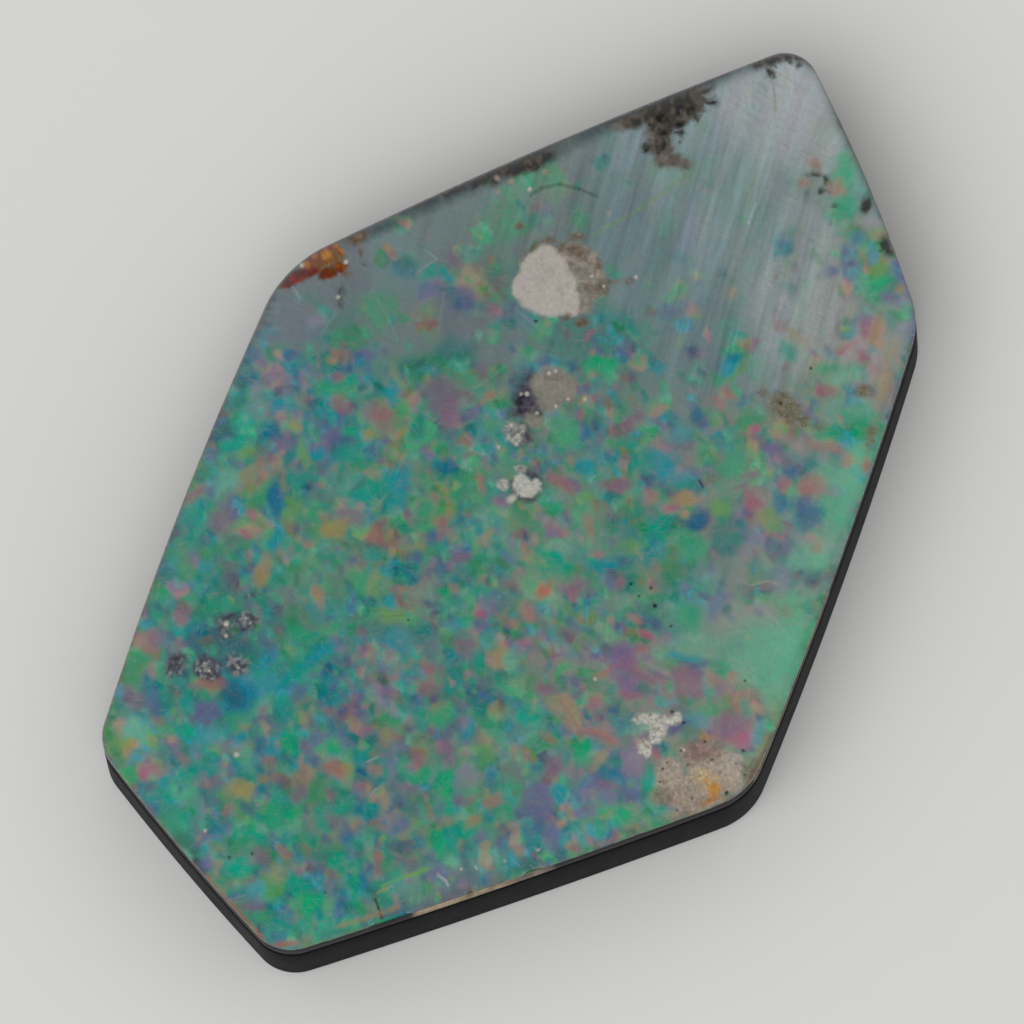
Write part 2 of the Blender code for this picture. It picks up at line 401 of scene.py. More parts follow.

# Patches, by tint: their middle, half-length, half-width and tilt in degrees. One
# with no half-width is round, and one with no tilt lies level.
PATCHES = {
    "bright_green": (
        (337, 743, 8, 5), (580, 752, 9, 13, 20), (601, 367, 14, 9), (399, 413, 9, 10), (215, 749, 8, 5),
        (297, 811, 9, 6), (446, 805, 6, 12), (443, 845, 6, 11), (444, 783, 9, 15), (444, 595, 7, 6),
        (567, 669, 9, 6), (550, 508, 12, 8), (415, 773, 12, 8), (255, 670, 4), (308, 906, 11, 11),
        (598, 815, 14, 5, -20), (882, 282, 11, 12), (293, 745, 9, 13), (350, 433, 6, 5),
    ),
    "bright_teal": (
        (232, 442, 13, 9), (550, 566, 19, 13), (341, 804, 8, 7), (339, 863, 10, 8), (240, 864, 15, 12),
        (468, 830, 14, 8, 35), (250, 839, 12, 9), (478, 661, 7, 7), (356, 384, 10, 7), (186, 731, 12, 5),
        (300, 887, 11, 8), (530, 714, 8, 8), (658, 531, 8, 8), (172, 822, 12, 14, 40),
    ),
    "green": (
        (273, 814, 12, 14), (356, 884, 8, 18), (429, 515, 12, 11), (730, 453, 11, 20), (827, 366, 18, 7),
        (365, 577, 12, 8), (307, 518, 8, 7), (266, 491, 18, 9, -40), (401, 763, 6, 12), (705, 707, 14, 9),
        (687, 614, 10, 15), (567, 434, 14, 13), (690, 545, 12, 16), (718, 511, 11, 13), (719, 378, 10, 9),
        (846, 172, 12, 20), (844, 208, 13, 12), (299, 634, 12, 9), (340, 390, 18, 8), (826, 433, 12, 7),
        (470, 622, 7, 8), (438, 716, 13, 12), (504, 816, 12, 8), (623, 817, 12, 6), (716, 665, 9, 7),
    ),
    "deep_green": (
        (135, 674, 14, 18), (319, 794, 8, 16), (291, 618, 8, 15), (669, 572, 12, 14), (390, 869, 8, 8),
        (234, 842, 14, 6), (320, 791, 8, 15), (212, 547, 11, 9), (333, 855, 14, 12),
    ),
    "leaf": (
        (246, 453, 11, 8), (305, 448, 8, 13), (295, 511, 9, 8), (123, 743, 9, 6), (395, 616, 18, 9),
        (273, 888, 16, 12), (327, 905, 7, 12), (711, 420, 5, 6), (769, 516, 12, 12), (716, 508, 10, 8),
        (486, 755, 8, 9), (882, 268, 9, 12), (626, 545, 10, 8), (415, 869, 16, 4, -18),
        (740, 367, 14, 4, -50),
    ),
    "pale_green": (
        (229, 480, 14, 12), (516, 661, 9, 9), (847, 376, 14, 9), (802, 554, 13, 14),
        (456, 861, 9, 7), (247, 754, 6, 8), (131, 728, 14, 11), (700, 645, 24, 14), (755, 650, 34, 30),
    ),
    "jade": (
        (836, 474, 22, 12), (842, 500, 12, 38, 20), (822, 560, 8, 22, 20), (775, 660, 26, 22),
    ),
    "teal": (
        (192, 523, 14, 18), (371, 489, 26, 10, -32), (298, 480, 9, 9), (376, 553, 7, 6), (480, 586, 9, 7),
        (647, 466, 9, 11), (158, 797, 13, 11), (186, 703, 7, 13), (287, 709, 12, 13), (189, 774, 9, 9),
        (210, 771, 8, 6), (319, 824, 7, 9), (417, 717, 8, 11), (456, 838, 8, 9), (433, 271, 12, 9),
        (688, 484, 12, 5), (348, 457, 14, 9), (647, 775, 6, 12), (786, 350, 9, 7), (747, 707, 6, 8),
        (291, 674, 18, 6, -28), (664, 522, 14, 9, -45), (766, 440, 6, 5), (337, 929, 24, 7, -16),
    ),
    "deep_teal": (
        (421, 635, 11, 8), (478, 707, 8, 10), (164, 700, 8, 11), (726, 535, 20, 16), (421, 423, 7, 12),
        (453, 346, 18, 13), (808, 463, 9, 7), (647, 688, 9, 8), (281, 924, 14, 8), (620, 575, 14, 9),
    ),
    "cyan": (
        (287, 405, 12, 10), (278, 540, 8, 15, 28), (363, 366, 7, 8), (394, 394, 8, 14), (466, 735, 9, 11),
        (315, 654, 18, 5, -32), (602, 567, 13, 9), (584, 467, 8, 11), (728, 365, 10, 9), (322, 454, 7, 7),
        (389, 601, 9, 8), (242, 736, 6, 6), (276, 752, 9, 5, 30), (397, 488, 10, 26, 15), (664, 462, 13, 14),
        (684, 657, 13, 4, 10), (557, 793, 9, 11),
    ),
    "sky": (
        (204, 566, 7, 6), (561, 644, 22, 4, 52), (453, 627, 8, 6), (238, 745, 7, 7), (697, 720, 13, 8),
        (872, 255, 6, 6), (398, 644, 12, 13), (140, 757, 9, 3, -35), (755, 737, 6, 9), (676, 433, 14, 7),
        (844, 440, 5), (679, 473, 10, 10), (254, 891, 10, 8), (852, 339, 5), (259, 683, 17, 13),
        (670, 706, 10, 3), (215, 734, 14, 9), (760, 722, 5, 10),
    ),
    "blue": (
        (343, 370, 10, 8), (272, 432, 9, 11), (278, 492, 7, 13), (242, 697, 14, 15), (262, 741, 7, 12, -15),
        (258, 790, 6, 8), (365, 884, 5, 16), (344, 832, 9, 9), (736, 356, 9, 6), (857, 241, 6, 6),
        (587, 431, 6, 6), (695, 519, 9, 8), (691, 413, 8, 8), (361, 813, 6, 6), (612, 773, 15, 9),
        (616, 709, 5), (786, 469, 8, 7), (781, 502, 8, 8), (280, 500, 7, 11), (443, 469, 12, 9),
    ),
    "indigo": (
        (150, 699, 9, 14), (342, 444, 10, 13), (415, 561, 9, 8), (443, 567, 10, 11), (620, 560, 7, 6),
        (647, 620, 13, 6, 30), (697, 664, 12, 6), (626, 799, 11, 10), (529, 823, 13, 17), (700, 423, 8, 5),
        (456, 297, 15, 11), (235, 894, 10, 6), (816, 352, 6, 3), (816, 410, 6, 6), (354, 560, 7, 5),
        (807, 514, 15, 16), (678, 728, 13, 4, -25), (435, 537, 7, 6), (361, 360, 6, 5),
    ),
    "violet": (
        (205, 712, 15, 12), (299, 691, 9, 7), (333, 433, 11, 8), (622, 659, 14, 13), (490, 600, 9, 11),
        (313, 760, 10, 7), (771, 456, 9, 7), (552, 837, 9, 10), (537, 803, 12, 18), (484, 840, 5, 8),
        (633, 688, 13, 11), (602, 791, 11, 20, -30), (436, 871, 11, 10), (207, 860, 6, 8), (370, 356, 10, 7),
        (890, 299, 7, 8), (469, 413, 8, 7), (608, 583, 6, 8), (496, 504, 9, 6), (588, 814, 10, 6),
    ),
    "lilac": (
        (784, 580, 13, 15), (633, 764, 10, 12), (468, 778, 13, 11), (700, 800, 8, 6), (316, 316, 9, 7),
    ),
    "mauve": (
        (229, 520, 15, 9, -60), (345, 519, 20, 8, 10), (571, 590, 14, 10), (443, 394, 22, 15),
        (453, 410, 9, 12), (461, 555, 9, 8), (467, 653, 11, 14, -40), (642, 671, 24, 7, 15),
        (685, 685, 12, 17, -20), (550, 765, 10, 10), (337, 819, 10, 5), (361, 790, 9, 8), (484, 373, 8, 10),
        (459, 261, 9, 12), (749, 474, 10, 6), (633, 416, 14, 9), (134, 700, 13, 10), (300, 794, 8, 12, -20),
        (257, 860, 10, 9), (736, 486, 12, 4), (463, 798, 10, 6), (612, 488, 19, 6), (156, 640, 8, 6),
        (547, 685, 10, 7), (729, 724, 22, 14), (607, 782, 10, 3, 35), (254, 903, 12, 5), (623, 489, 10, 8),
        (445, 755, 9, 13),
    ),
    "rose": (
        (379, 420, 18, 11, 38), (345, 404, 10, 5, 30), (337, 380, 6, 6), (562, 484, 15, 6, 35),
        (429, 671, 10, 6), (415, 755, 5, 10), (222, 763, 6, 4), (230, 810, 5, 5), (597, 700, 9, 10),
        (633, 697, 10, 5), (441, 526, 4, 8), (756, 500, 11, 11), (775, 531, 6, 5), (847, 350, 12, 4),
        (865, 362, 8, 6), (829, 393, 13, 8), (463, 439, 6, 5), (493, 311, 9, 7), (529, 644, 9, 6),
        (617, 583, 4, 7), (181, 616, 6, 7), (152, 766, 13, 7), (741, 741, 13, 11), (867, 330, 7, 9),
        (330, 711, 8, 5), (195, 497, 16, 7, -30), (657, 758, 5, 6), (378, 862, 5, 9), (263, 708, 8, 4, -45),
    ),
    "magenta": (
        (256, 514, 5), (250, 534, 5), (593, 335, 8, 4, -35), (671, 506, 9, 5), (647, 635, 12, 5, 30),
        (756, 430, 6, 5), (821, 394, 5, 4), (480, 612, 6, 4), (143, 774, 7, 6), (744, 738, 8, 7),
    ),
    "coral": (
        (210, 684, 16, 6), (484, 399, 8, 4, -25), (478, 484, 4, 9), (378, 859, 4, 5), (869, 463, 4, 8),
        (543, 594, 8, 8), (288, 946, 12, 3, -10), (334, 767, 10, 9),
    ),
    "salmon": (
        (337, 765, 12, 11), (525, 612, 10, 7, 30), (542, 596, 9, 8), (310, 549, 5), (376, 538, 5),
        (322, 486, 4), (146, 640, 15, 10), (363, 788, 6, 5), (375, 769, 5, 6), (512, 834, 4, 16, -15),
        (489, 864, 8, 6), (492, 801, 10, 7), (653, 496, 8, 7), (716, 403, 7, 7), (729, 395, 6, 5),
        (812, 484, 13, 11), (783, 484, 6, 13), (827, 446, 18, 7), (849, 456, 8, 6), (270, 761, 4, 6),
        (512, 622, 6, 5), (607, 670, 9, 4, -20), (712, 678, 8, 5), (750, 693, 12, 6), (736, 703, 8, 7),
        (436, 494, 7, 4), (591, 528, 6, 10), (598, 354, 3), (317, 596, 7, 10, -30), (284, 850, 10, 5, 35),
        (276, 776, 5, 3), (633, 615, 8, 4, 30), (661, 410, 8, 5), (839, 186, 10, 9), (817, 166, 6, 5),
        (803, 181, 6, 5), (597, 554, 8, 4), (598, 735, 20, 5, 25), (869, 269, 5), (302, 772, 5, 7),
        (727, 670, 4),
    ),
    "orange": (
        (401, 431, 6, 5), (328, 358, 6, 4, -40), (263, 569, 7, 13, 25), (350, 763, 5, 8), (499, 658, 11, 10),
        (562, 826, 8, 6), (474, 821, 8, 6), (488, 854, 6, 6), (131, 751, 10, 6, -60), (262, 774, 6, 5),
        (308, 773, 5, 8), (880, 334, 8, 12), (113, 731, 3, 8, -20), (369, 790, 4, 6), (317, 599, 5, 8, -30),
        (687, 496, 15, 7), (708, 738, 8, 5),
    ),
    "gold": (
        (238, 790, 14, 11), (245, 793, 9, 8), (333, 531, 14, 9, -20), (585, 398, 4), (128, 745, 6, 5),
        (567, 710, 22, 8, 45), (353, 827, 5, 4), (296, 429, 6, 5), (365, 440, 7, 6),
    ),
    "tan": (
        (253, 474, 15, 6, -40), (484, 537, 6, 6), (273, 518, 6, 5), (281, 871, 13, 12), (451, 823, 7, 6),
        (762, 519, 6, 6), (660, 446, 3), (493, 704, 6, 6), (389, 734, 9, 8), (793, 335, 6, 5),
        (600, 759, 12, 4, -40), (819, 546, 5, 5), (690, 498, 8, 5), (886, 380, 36, 6, -73),
    ),
    "slate": (
        (232, 650, 26, 12), (403, 846, 16, 6), (413, 860, 22, 6), (696, 519, 9, 9),
        (610, 577, 6, 4), (249, 810, 10, 8), (816, 580, 7, 11), (471, 859, 8, 14), (375, 889, 6, 9),
        (762, 714, 6, 6), (524, 381, 12, 11), (361, 483, 12, 3, -45), (236, 697, 8, 9),
    ),
}
PATCH_STRENGTH = 0.76

# How a patch's outline is moved: size of the waves, amount and seed
PATCH_WARPS = (
    (26.0, 19.0, 21),
    (7.0, 6.0, 23),
)

# A patch's shape: how much it grows, how square it is, how soft its edge is, in pixels and as a
# share of its half-width, how much of that lies outside and inside, and how far it can reach
PATCH_GROWTH = 1.1
ROUNDNESS = 2.3
PATCH_SOFTNESS = 3.0
PATCH_OWN_SOFTNESS = 0.55
SOFT_OUTSIDE = 0.5
SOFT_INSIDE = 0.7
PATCH_REACH = 1.3
PATCH_MARGIN = 12.0

# Its chances: how much lighter it gets across it, how it fades to one side, and the share of
# patches, of those that are narrow enough, that have grain
PATCH_SEED = 5
PATCH_LIFT = (0.82, 0.36)
SHIFT_SPAN = (-0.8, 0.8)
PATCH_FADE = 0.5
FADE_SPAN = (-0.7, 1.0)
GRAINED_SHARE = 0.3
GRAINED_PATCH = 13

# How deep the grain is where no patch has its own, as a share
PLAIN_GRAIN = 0.50

# Kinds of foreign matter in the opal, and the painted shade along its far rim (edge_shade): its tint, the
# pale and the dark tint of its mottling with how strong each is, the size of the mottling in pixels, and how
# ragged and how soft its edge is
KINDS = {
    "white_patch": ("chalk", "white", 0.5, "taupe", 0.25, 10.0, 5.0, 2.5),
    "speckled_side": ("taupe", "beige", 0.6, "umber", 0.7, 8.0, 7.0, 4.5),
    "brown_rim": ("umber", "stone", 0.5, "bark", 0.6, 5.0, 5.0, 3.0),
    "ash_lump": ("stone", "beige", 0.5, "umber", 0.4, 7.0, 7.0, 5.0),
    "dark_lump": ("soot", "smoke", 0.6, "coal", 0.5, 6.5, 8.0, 5.0),
    "grey_lump": ("lead", "white", 0.8, "silt", 0.8, 4.0, 6.0, 2.0),
    "cream_lump": ("cream", "white", 0.5, "taupe", 0.4, 5.0, 6.0, 2.0),
    "salt": ("smoke", "lead", 0.6, "soot", 0.9, 3.4, 8.0, 3.5),
    "beige_patch": ("fawn", "beige", 0.8, "taupe", 0.8, 7.0, 8.0, 4.0),
    "pale_patch": ("beige", "pink_grey", 0.6, "fawn", 0.7, 5.0, 5.0, 3.0),
    "cream_patch": ("cream", "white", 0.6, "taupe", 0.8, 4.5, 7.0, 2.0),
    "dendrite": ("peat", "silt", 0.6, "coal", 0.6, 7.0, 9.0, 3.5),
    "faint_dendrite": ("silt", "stone", 0.35, "peat", 0.5, 7.0, 8.0, 4.0),
    "rust_stain": ("rust", "red_rust", 0.8, "bark", 0.6, 6.5, 5.0, 2.5),
    "ochre_stain": ("ochre", "flame", 0.6, "umber", 0.7, 7.0, 5.0, 2.5),
    "amber_stain": ("amber", "sand", 0.6, "flame", 0.6, 6.0, 5.0, 4.0),
    "flame_stain": ("flame", "amber", 0.4, "ochre", 0.4, 5.0, 4.0, 3.0),
    "brown_haze": ("plum_brown", "fawn", 0.4, "umber", 0.6, 5.0, 8.0, 6.0),
    "brown_speckle": ("khaki", "taupe", 0.4, "umber", 0.8, 4.5, 8.0, 5.0),
    # edge_shade is painted shade: a dark band along the far rim, not matter in the opal
    "edge_shade": ("shade", "ash_grey", 0.5, "silt", 0.5, 20.0, 5.0, 8.0),
}

# Their mottling: the size in pixels of the finest and its share, the span over which a tint sets
# in, and the seeds of both warps and both mottlings, to which a mark's number is added
FINE_MOTTLING = 3.2
FINE_SHARE = 0.5
MOTTLE_SPAN = 0.32
RAGGED_WAVE = 1.6
FINE_RAGGED = 0.5
MARK_SEEDS = (70, 210, 170, 250)
FAR_OUTSIDE = -99.0

# Where each kind lies, in the order in which it is laid: the same measures as for the patches
MARKS = (
    # The painted shade along the far rim, laid first
    ("edge_shade", (
        (700, 84, 80, 7, -22), (610, 124, 60, 8, -23), (520, 163, 60, 11, -23), (440, 198, 60, 9, -22),
        (380, 227, 36, 6, -23), (846, 122, 76, 8, 66), (760, 62, 30, 6, -20), (808, 60, 14, 7, 40),
    )),
    ("beige_patch", (
        (687, 790, 25, 19), (706, 762, 26, 16), (722, 778, 20, 16), (668, 778, 14, 18),
        (698, 807, 30, 9, -18),
    )),
    ("pale_patch", ((670, 766, 11, 10), (731, 763, 13, 12), (735, 781, 10, 12), (684, 751, 5, 4))),
    ("brown_haze", ((702, 750, 19, 11), (738, 800, 24, 6, -32), (753, 776, 6, 20, 25), (662, 800, 11, 6))),
    ("amber_stain", ((703, 777, 9, 7), (712, 784, 7, 8))),
    ("ochre_stain", ((331, 255, 14, 11), (316, 262, 15, 8, -25))),
    ("flame_stain", ((714, 791, 6, 8, 20), (711, 801, 8, 2, -18), (327, 254, 4, 4))),
    ("brown_speckle", (
        (782, 403, 15, 12), (790, 413, 15, 11), (803, 421, 9, 7), (762, 393, 6, 4, 40), (819, 426, 7, 4),
        (863, 391, 8, 6), (871, 437, 5, 14, 18), (748, 768, 5, 8), (661, 796, 9, 6), (708, 482, 5, 4),
    )),
    ("rust_stain", (
        (328, 273, 12, 7, -20), (312, 272, 10, 5, -25), (298, 276, 14, 6, -25), (287, 282, 9, 5, -35),
        (341, 267, 7, 5),
    )),
    ("speckled_side", (
        (582, 266, 21, 20), (592, 284, 16, 17), (578, 302, 15, 12), (572, 250, 12, 8), (562, 258, 14, 12),
    )),
    ("white_patch", (
        (545, 282, 28, 24), (545, 262, 14, 18), (524, 286, 12, 13), (564, 301, 16, 14), (570, 310, 9, 7),
        (568, 284, 8, 12), (538, 300, 18, 11), (534, 266, 17, 12, -45), (555, 268, 14, 14),
        (550, 306, 20, 11),
    )),
    ("brown_rim", (
        (358, 238, 11, 5, -25), (361, 251, 3, 6), (346, 274, 6, 3), (523, 258, 7, 2, -55),
        (534, 247, 8, 3, -35), (548, 241, 9, 3), (566, 246, 8, 4), (578, 237, 8, 4), (598, 266, 4, 5),
        (582, 322, 7, 5), (603, 289, 6, 6), (574, 249, 9, 5, 20), (611, 281, 9, 2, 3), (629, 280, 5, 3, -15),
        (519, 226, 5, 4), (566, 316, 6, 3, -30),
    )),
    ("dark_lump", (
        (524, 400, 15, 9), (530, 380, 7, 6), (522, 412, 13, 8), (528, 389, 9, 8), (538, 414, 7, 8),
    )),
    ("ash_lump", (
        (552, 387, 20, 18), (548, 403, 12, 9), (569, 393, 8, 10), (550, 373, 9, 7), (534, 421, 8, 7),
    )),
    ("dark_lump", ((521, 435, 11, 10), (526, 489, 17, 12), (534, 475, 9, 4, 25))),
    ("grey_lump", ((513, 431, 11, 9), (517, 438, 8, 8), (503, 485, 6, 5), (520, 470, 5, 6))),
    ("cream_lump", ((522, 483, 9, 8), (527, 489, 12, 8), (536, 483, 5, 5), (511, 498, 6, 3, -40))),
    ("salt", (
        (225, 627, 8, 12), (247, 621, 11, 10), (243, 629, 7, 3), (175, 665, 9, 12, 30), (206, 669, 14, 13),
        (237, 665, 12, 10), (253, 596, 6, 2, -20),
    )),
    ("dark_lump", ((176, 660, 4, 6, 30), (183, 658, 4, 3), (228, 616, 5, 4))),
    ("cream_patch", (
        (649, 719, 14, 7), (670, 721, 10, 5), (678, 719, 5, 5), (657, 731, 9, 7), (645, 748, 8, 8),
        (657, 739, 7, 6),
    )),
    ("faint_dendrite", (
        (662, 146, 15, 14), (668, 160, 15, 10), (682, 164, 10, 7), (660, 132, 15, 10),
        (630, 122, 18, 7, -20), (684, 118, 14, 8, -40),
    )),
    ("dendrite", (
        (656, 115, 17, 12), (670, 118, 16, 12), (672, 106, 22, 9, -22), (692, 105, 14, 12), (703, 98, 10, 6),
        (711, 102, 6, 4, 30), (662, 130, 14, 9), (661, 145, 7, 7), (648, 147, 5, 5), (680, 134, 5, 4),
        (633, 124, 10, 6), (650, 107, 14, 5, -22), (700, 92, 16, 5, -22), (697, 117, 5, 5),
        (512, 167, 24, 8, -22), (536, 162, 18, 6, -24), (456, 191, 9, 4, -20), (503, 172, 11, 6),
        (496, 184, 4, 5), (480, 180, 14, 4, -22), (760, 65, 6, 4), (774, 60, 14, 4, -15), (786, 56, 8, 5),
        (800, 55, 8, 5), (770, 70, 5, 5), (797, 62, 5, 4), (867, 203, 7, 9), (885, 246, 5, 9, -25),
        (814, 175, 6, 3, 15), (826, 179, 5, 4, 40), (823, 190, 4, 3, 30), (833, 205, 3, 2),
        (341, 296, 2, 8), (364, 264, 3, 2),
    )),
)

# Small specks, by tint: their middle and radius
SPECKS = {
    "fawn": ((497, 178, 3.0), (511, 181, 3.6), (545, 172, 3.2), (498, 192, 2.4), (609, 213, 2.6)),
    "coal": (
        (631, 584, 1.7), (651, 588, 2.0), (639, 596, 1.8), (655, 606, 2.6), (671, 626, 1.5), (745, 681, 1.7),
        (663, 769, 1.6), (660, 782, 1.6), (681, 751, 1.5), (688, 765, 1.4), (705, 742, 1.6), (727, 793, 2.6),
        (743, 751, 2.0), (736, 763, 1.4), (745, 775, 1.7), (692, 798, 1.4), (677, 810, 1.4), (667, 763, 1.3),
        (720, 772, 1.5), (252, 854, 1.6), (229, 858, 2.0), (325, 893, 1.4), (408, 620, 1.5), (811, 368, 1.8),
        (536, 321, 2.4), (781, 403, 1.8), (650, 715, 1.5), (672, 712, 2.2), (684, 723, 1.7), (436, 422, 1.8),
        (771, 56, 1.8), (790, 62, 1.6), (776, 66, 1.5), (680, 142, 1.4), (700, 776, 1.3), (712, 760, 1.4),
    ),
    "white": (
        (527, 394, 2.6), (549, 373, 2.2), (521, 394, 1.6), (537, 413, 1.9), (226, 624, 3.2), (226, 636, 2.2),
        (346, 262, 2.4), (302, 265, 2.6), (338, 297, 2.2), (530, 189, 2.4), (538, 850, 1.6), (541, 848, 1.2),
        (461, 869, 1.3), (476, 868, 1.3), (505, 861, 1.1), (585, 399, 2.2), (595, 679, 2.0), (205, 831, 1.8),
        (236, 755, 3.0), (498, 447, 2.4), (556, 371, 2.0), (511, 425, 1.8), (518, 436, 2.6), (245, 618, 1.5),
        (250, 623, 1.3), (204, 664, 1.4), (209, 671, 1.4), (200, 671, 1.3), (238, 668, 1.3), (684, 750, 1.6),
    ),
    "cream": (
        (556, 406, 1.8), (568, 399, 1.6), (636, 277, 2.2), (749, 222, 1.6), (592, 276, 2.0), (604, 286, 1.6),
    ),
}
SPECK_SIZE = 0.85
SPECK_STRENGTH = 0.85
SPECK_MARGIN = 3.0

# Scratches, cracks and thin streaks, and one painted highlight along the near shoulder: tint, width in
# pixels, strength, and the points they pass
LINES = (
    ("pale_green", 1.6, 0.45, (372, 289), (379, 302), (388, 318), (398, 341)),
    ("pale_green", 1.4, 0.35, (336, 312), (320, 336)),
    ("pearl", 1.6, 0.45, (293, 287), (300, 299)),
    ("pearl", 1.4, 0.40, (424, 249), (437, 259), (416, 273)),
    ("mist", 1.6, 0.40, (414, 406), (440, 424)),
    ("sky", 1.8, 0.45, (414, 408), (410, 424), (420, 440), (409, 441)),
    ("pale_green", 1.8, 0.45, (465, 435), (482, 450), (502, 470)),
    ("pale_green", 1.6, 0.40, (406, 451), (400, 465), (394, 478)),
    ("pale_green", 2.0, 0.45, (386, 495), (369, 513)),
    ("pale_green", 1.6, 0.35, (507, 365), (480, 385), (470, 392)),
    ("mist", 1.6, 0.30, (444, 292), (440, 320)),
    ("mist", 1.8, 0.35, (516, 309), (540, 330)),
    ("peat", 3.4, 0.45, (531, 195), (542, 188), (560, 184), (580, 189), (597, 196)),
    ("leaf", 4.0, 0.30, (592, 236), (640, 208), (668, 188), (694, 170)),
    ("tan", 2.0, 0.35, (600, 229), (640, 209), (690, 176)),
    ("coal", 1.6, 0.85, (375, 899), (378, 908), (382, 919)),
    ("coal", 1.6, 0.80, (699, 480), (703, 487)),
    ("milk", 2.0, 0.80, (438, 876), (445, 880), (448, 886)),
    ("milk", 1.6, 0.60, (367, 762), (378, 757)),
    ("milk", 1.6, 0.50, (370, 796), (376, 789)),
    ("milk", 2.4, 0.45, (756, 204), (749, 222)),
    ("ash_grey", 2.0, 0.55, (772, 75), (775, 95), (775, 109)),
    ("tan", 2.2, 0.60, (775, 100), (775, 112)),
    ("beige", 2.2, 0.40, (752, 585), (768, 581), (778, 584)),
    ("beige", 2.0, 0.28, (757, 601), (768, 602), (778, 612)),
    ("salmon", 2.0, 0.40, (748, 589), (764, 588)),
    ("tan", 1.8, 0.55, (555, 697), (582, 730)),
    ("salmon", 2.0, 0.65, (560, 700), (586, 738)),
    ("tan", 1.8, 0.55, (566, 698), (592, 728)),
    ("mauve", 1.8, 0.55, (574, 640), (612, 668)),
    ("coral", 1.5, 0.60, (590, 729), (616, 744)),
    ("salmon", 1.5, 0.60, (588, 734), (610, 747)),
    ("salmon", 1.5, 0.60, (276, 843), (292, 856)),
    ("salmon", 1.5, 0.50, (273, 846), (288, 858)),
    ("violet", 1.6, 0.55, (648, 671), (672, 680)),
    ("salmon", 1.4, 0.40, (676, 676), (694, 690)),
    ("salmon", 1.4, 0.40, (672, 682), (690, 697)),
    ("pearl", 1.4, 0.35, (643, 662), (668, 674)),
    ("indigo", 1.4, 0.50, (242, 804), (258, 803)),
    ("indigo", 1.4, 0.50, (243, 809), (259, 809)),
    ("indigo", 1.4, 0.50, (246, 814), (258, 814)),
    ("indigo", 1.4, 0.45, (393, 846), (416, 840)),
    ("indigo", 1.4, 0.45, (396, 851), (420, 845)),
    ("sky", 1.4, 0.45, (550, 787), (558, 804)),
    ("sky", 1.4, 0.45, (556, 785), (564, 802)),
    ("orange", 5.0, 0.50, (337, 927), (371, 917), (398, 907)),
    ("coral", 3.6, 0.60, (207, 876), (232, 905), (262, 938)),
    ("coral", 3.4, 0.65, (276, 945), (296, 944)),
    # A painted highlight: the pale green line where the near shoulder mirrors the light
    ("leaf", 2.4, 0.70, (382, 886), (405, 877), (428, 869)),
    ("gold", 2.6, 0.50, (377, 893), (392, 886)),
    ("salmon", 3.0, 0.50, (596, 846), (622, 836)),
    ("umber", 3.0, 0.60, (744, 790), (764, 752), (772, 735)),
)
LINE_MARGIN = 2.0
LINE_BLUR = 0.9
LINE_CORE = 0.6

# What the opal's material draws: scales per millimetre, along and across where they differ, and
# how strongly the grain, the streaks and the grit lighten and darken
GRAIN_SCALES = (2.6, 13.0, 1.0)
GRAIN_SWING = 0.45
STREAK_SCALES = (0.22, 2.6, 1.0)
STREAK_SWING = 1.25
GRIT_SCALE = 11.0
GRIT_SWING = 2.2

# Fine shifts of colour over the whole face and in the streaks: scale, and how much of a random
# colour is added to what
MOTLEY_SCALE = 9.0
MOTLEY_TONES = ((0.25, 0.22, 0.24), (0.875, 0.89, 0.88))
STREAK_MOTLEY_SCALE = 0.8
STREAK_TONES = ((0.50, 0.30, 0.36), (0.75, 0.85, 0.82))

# Hairs in the grain: their scales, strength and colour, and where the noise and the grain are
# high enough for them
WARM_HAIRS = ((1.8, 14.0, 1.0), 0.36, (0.46, 0.40, 0.39, 1.0))
COOL_HAIRS = ((2.2, 11.0, 1.0), 0.28, (0.34, 0.42, 0.46, 1.0))
HAIR_NOISE = (0.54, 0.72)
HAIRY_GRAIN = 0.5

# The two tones between which each plain material varies, as light
BLACKS = ((0.002, 0.002, 0.003, 1.0), (0.007, 0.007, 0.008, 1.0))
CLEAR_TONES = ((0.985, 0.99, 0.99, 1.0), (1.0, 1.0, 1.0, 1.0))
FLOOR_TONES = ((0.70, 0.70, 0.69, 1.0), (0.74, 0.74, 0.73, 1.0))
CAP_ROUGHNESS = 0.02

# Largest share of light that leaves each way through the cap, the light on the stone, the light
# that the cap adds all over, and the palest that a surface gets
CAP_ESCAPE = 0.38
CAP_RETURN = 0.60
LIGHT_ON_STONE = 0.78
HAZE = 0.028
PALEST = 0.97

# The world's strength near the horizon and overhead, and the heights between which it falls
SKY_LOW = 0.78
SKY_HIGH = 0.19
SKY_FALL = (0.70, 0.95)

# The softbox: its place in degrees and metres, its side in metres and its power in watts
SOFTBOX_AZIMUTH = math.radians(3)
SOFTBOX_ELEVATION = math.radians(45)
SOFTBOX_DISTANCE = 0.8
SOFTBOX_SIDE = 0.9
SOFTBOX_WATTS = 4.0

FLOOR_HALF = 1500.0
FLOOR_LEVEL = -0.02


def smooth_step(low, high, value):
    """Rises smoothly from 0 to 1 as the value passes from low to high."""
    t = np.clip((value - low) / (high - low), 0.0, 1.0)
    return t * t * (3.0 - 2.0 * t)


def linear(colour):
    """A colour of 0 to 255 as the display shows it, as light, by the display's standard curve."""
    share = np.asarray(colour, float) / 255.0
    return np.where(share <= 0.04045, share / 12.92, ((share + 0.055) / 1.055) ** 2.4)


def under_cap(light, mirrored):
    """The surface colour that gives this light when it is seen through the cap, which mirrors
    some light itself."""
    wanted = np.clip(light - HAZE - mirrored[:, None], 0.0, None) / LIGHT_ON_STONE
    return np.clip(wanted / (CAP_ESCAPE + CAP_RETURN * wanted), 0.0, PALEST)


# The camera

def direction(azimuth, elevation):
    """The direction from the stone towards something at this azimuth and elevation."""
    return Vector((
        math.sin(azimuth) * math.cos(elevation),
        -math.cos(azimuth) * math.cos(elevation),
        math.sin(elevation),
    ))


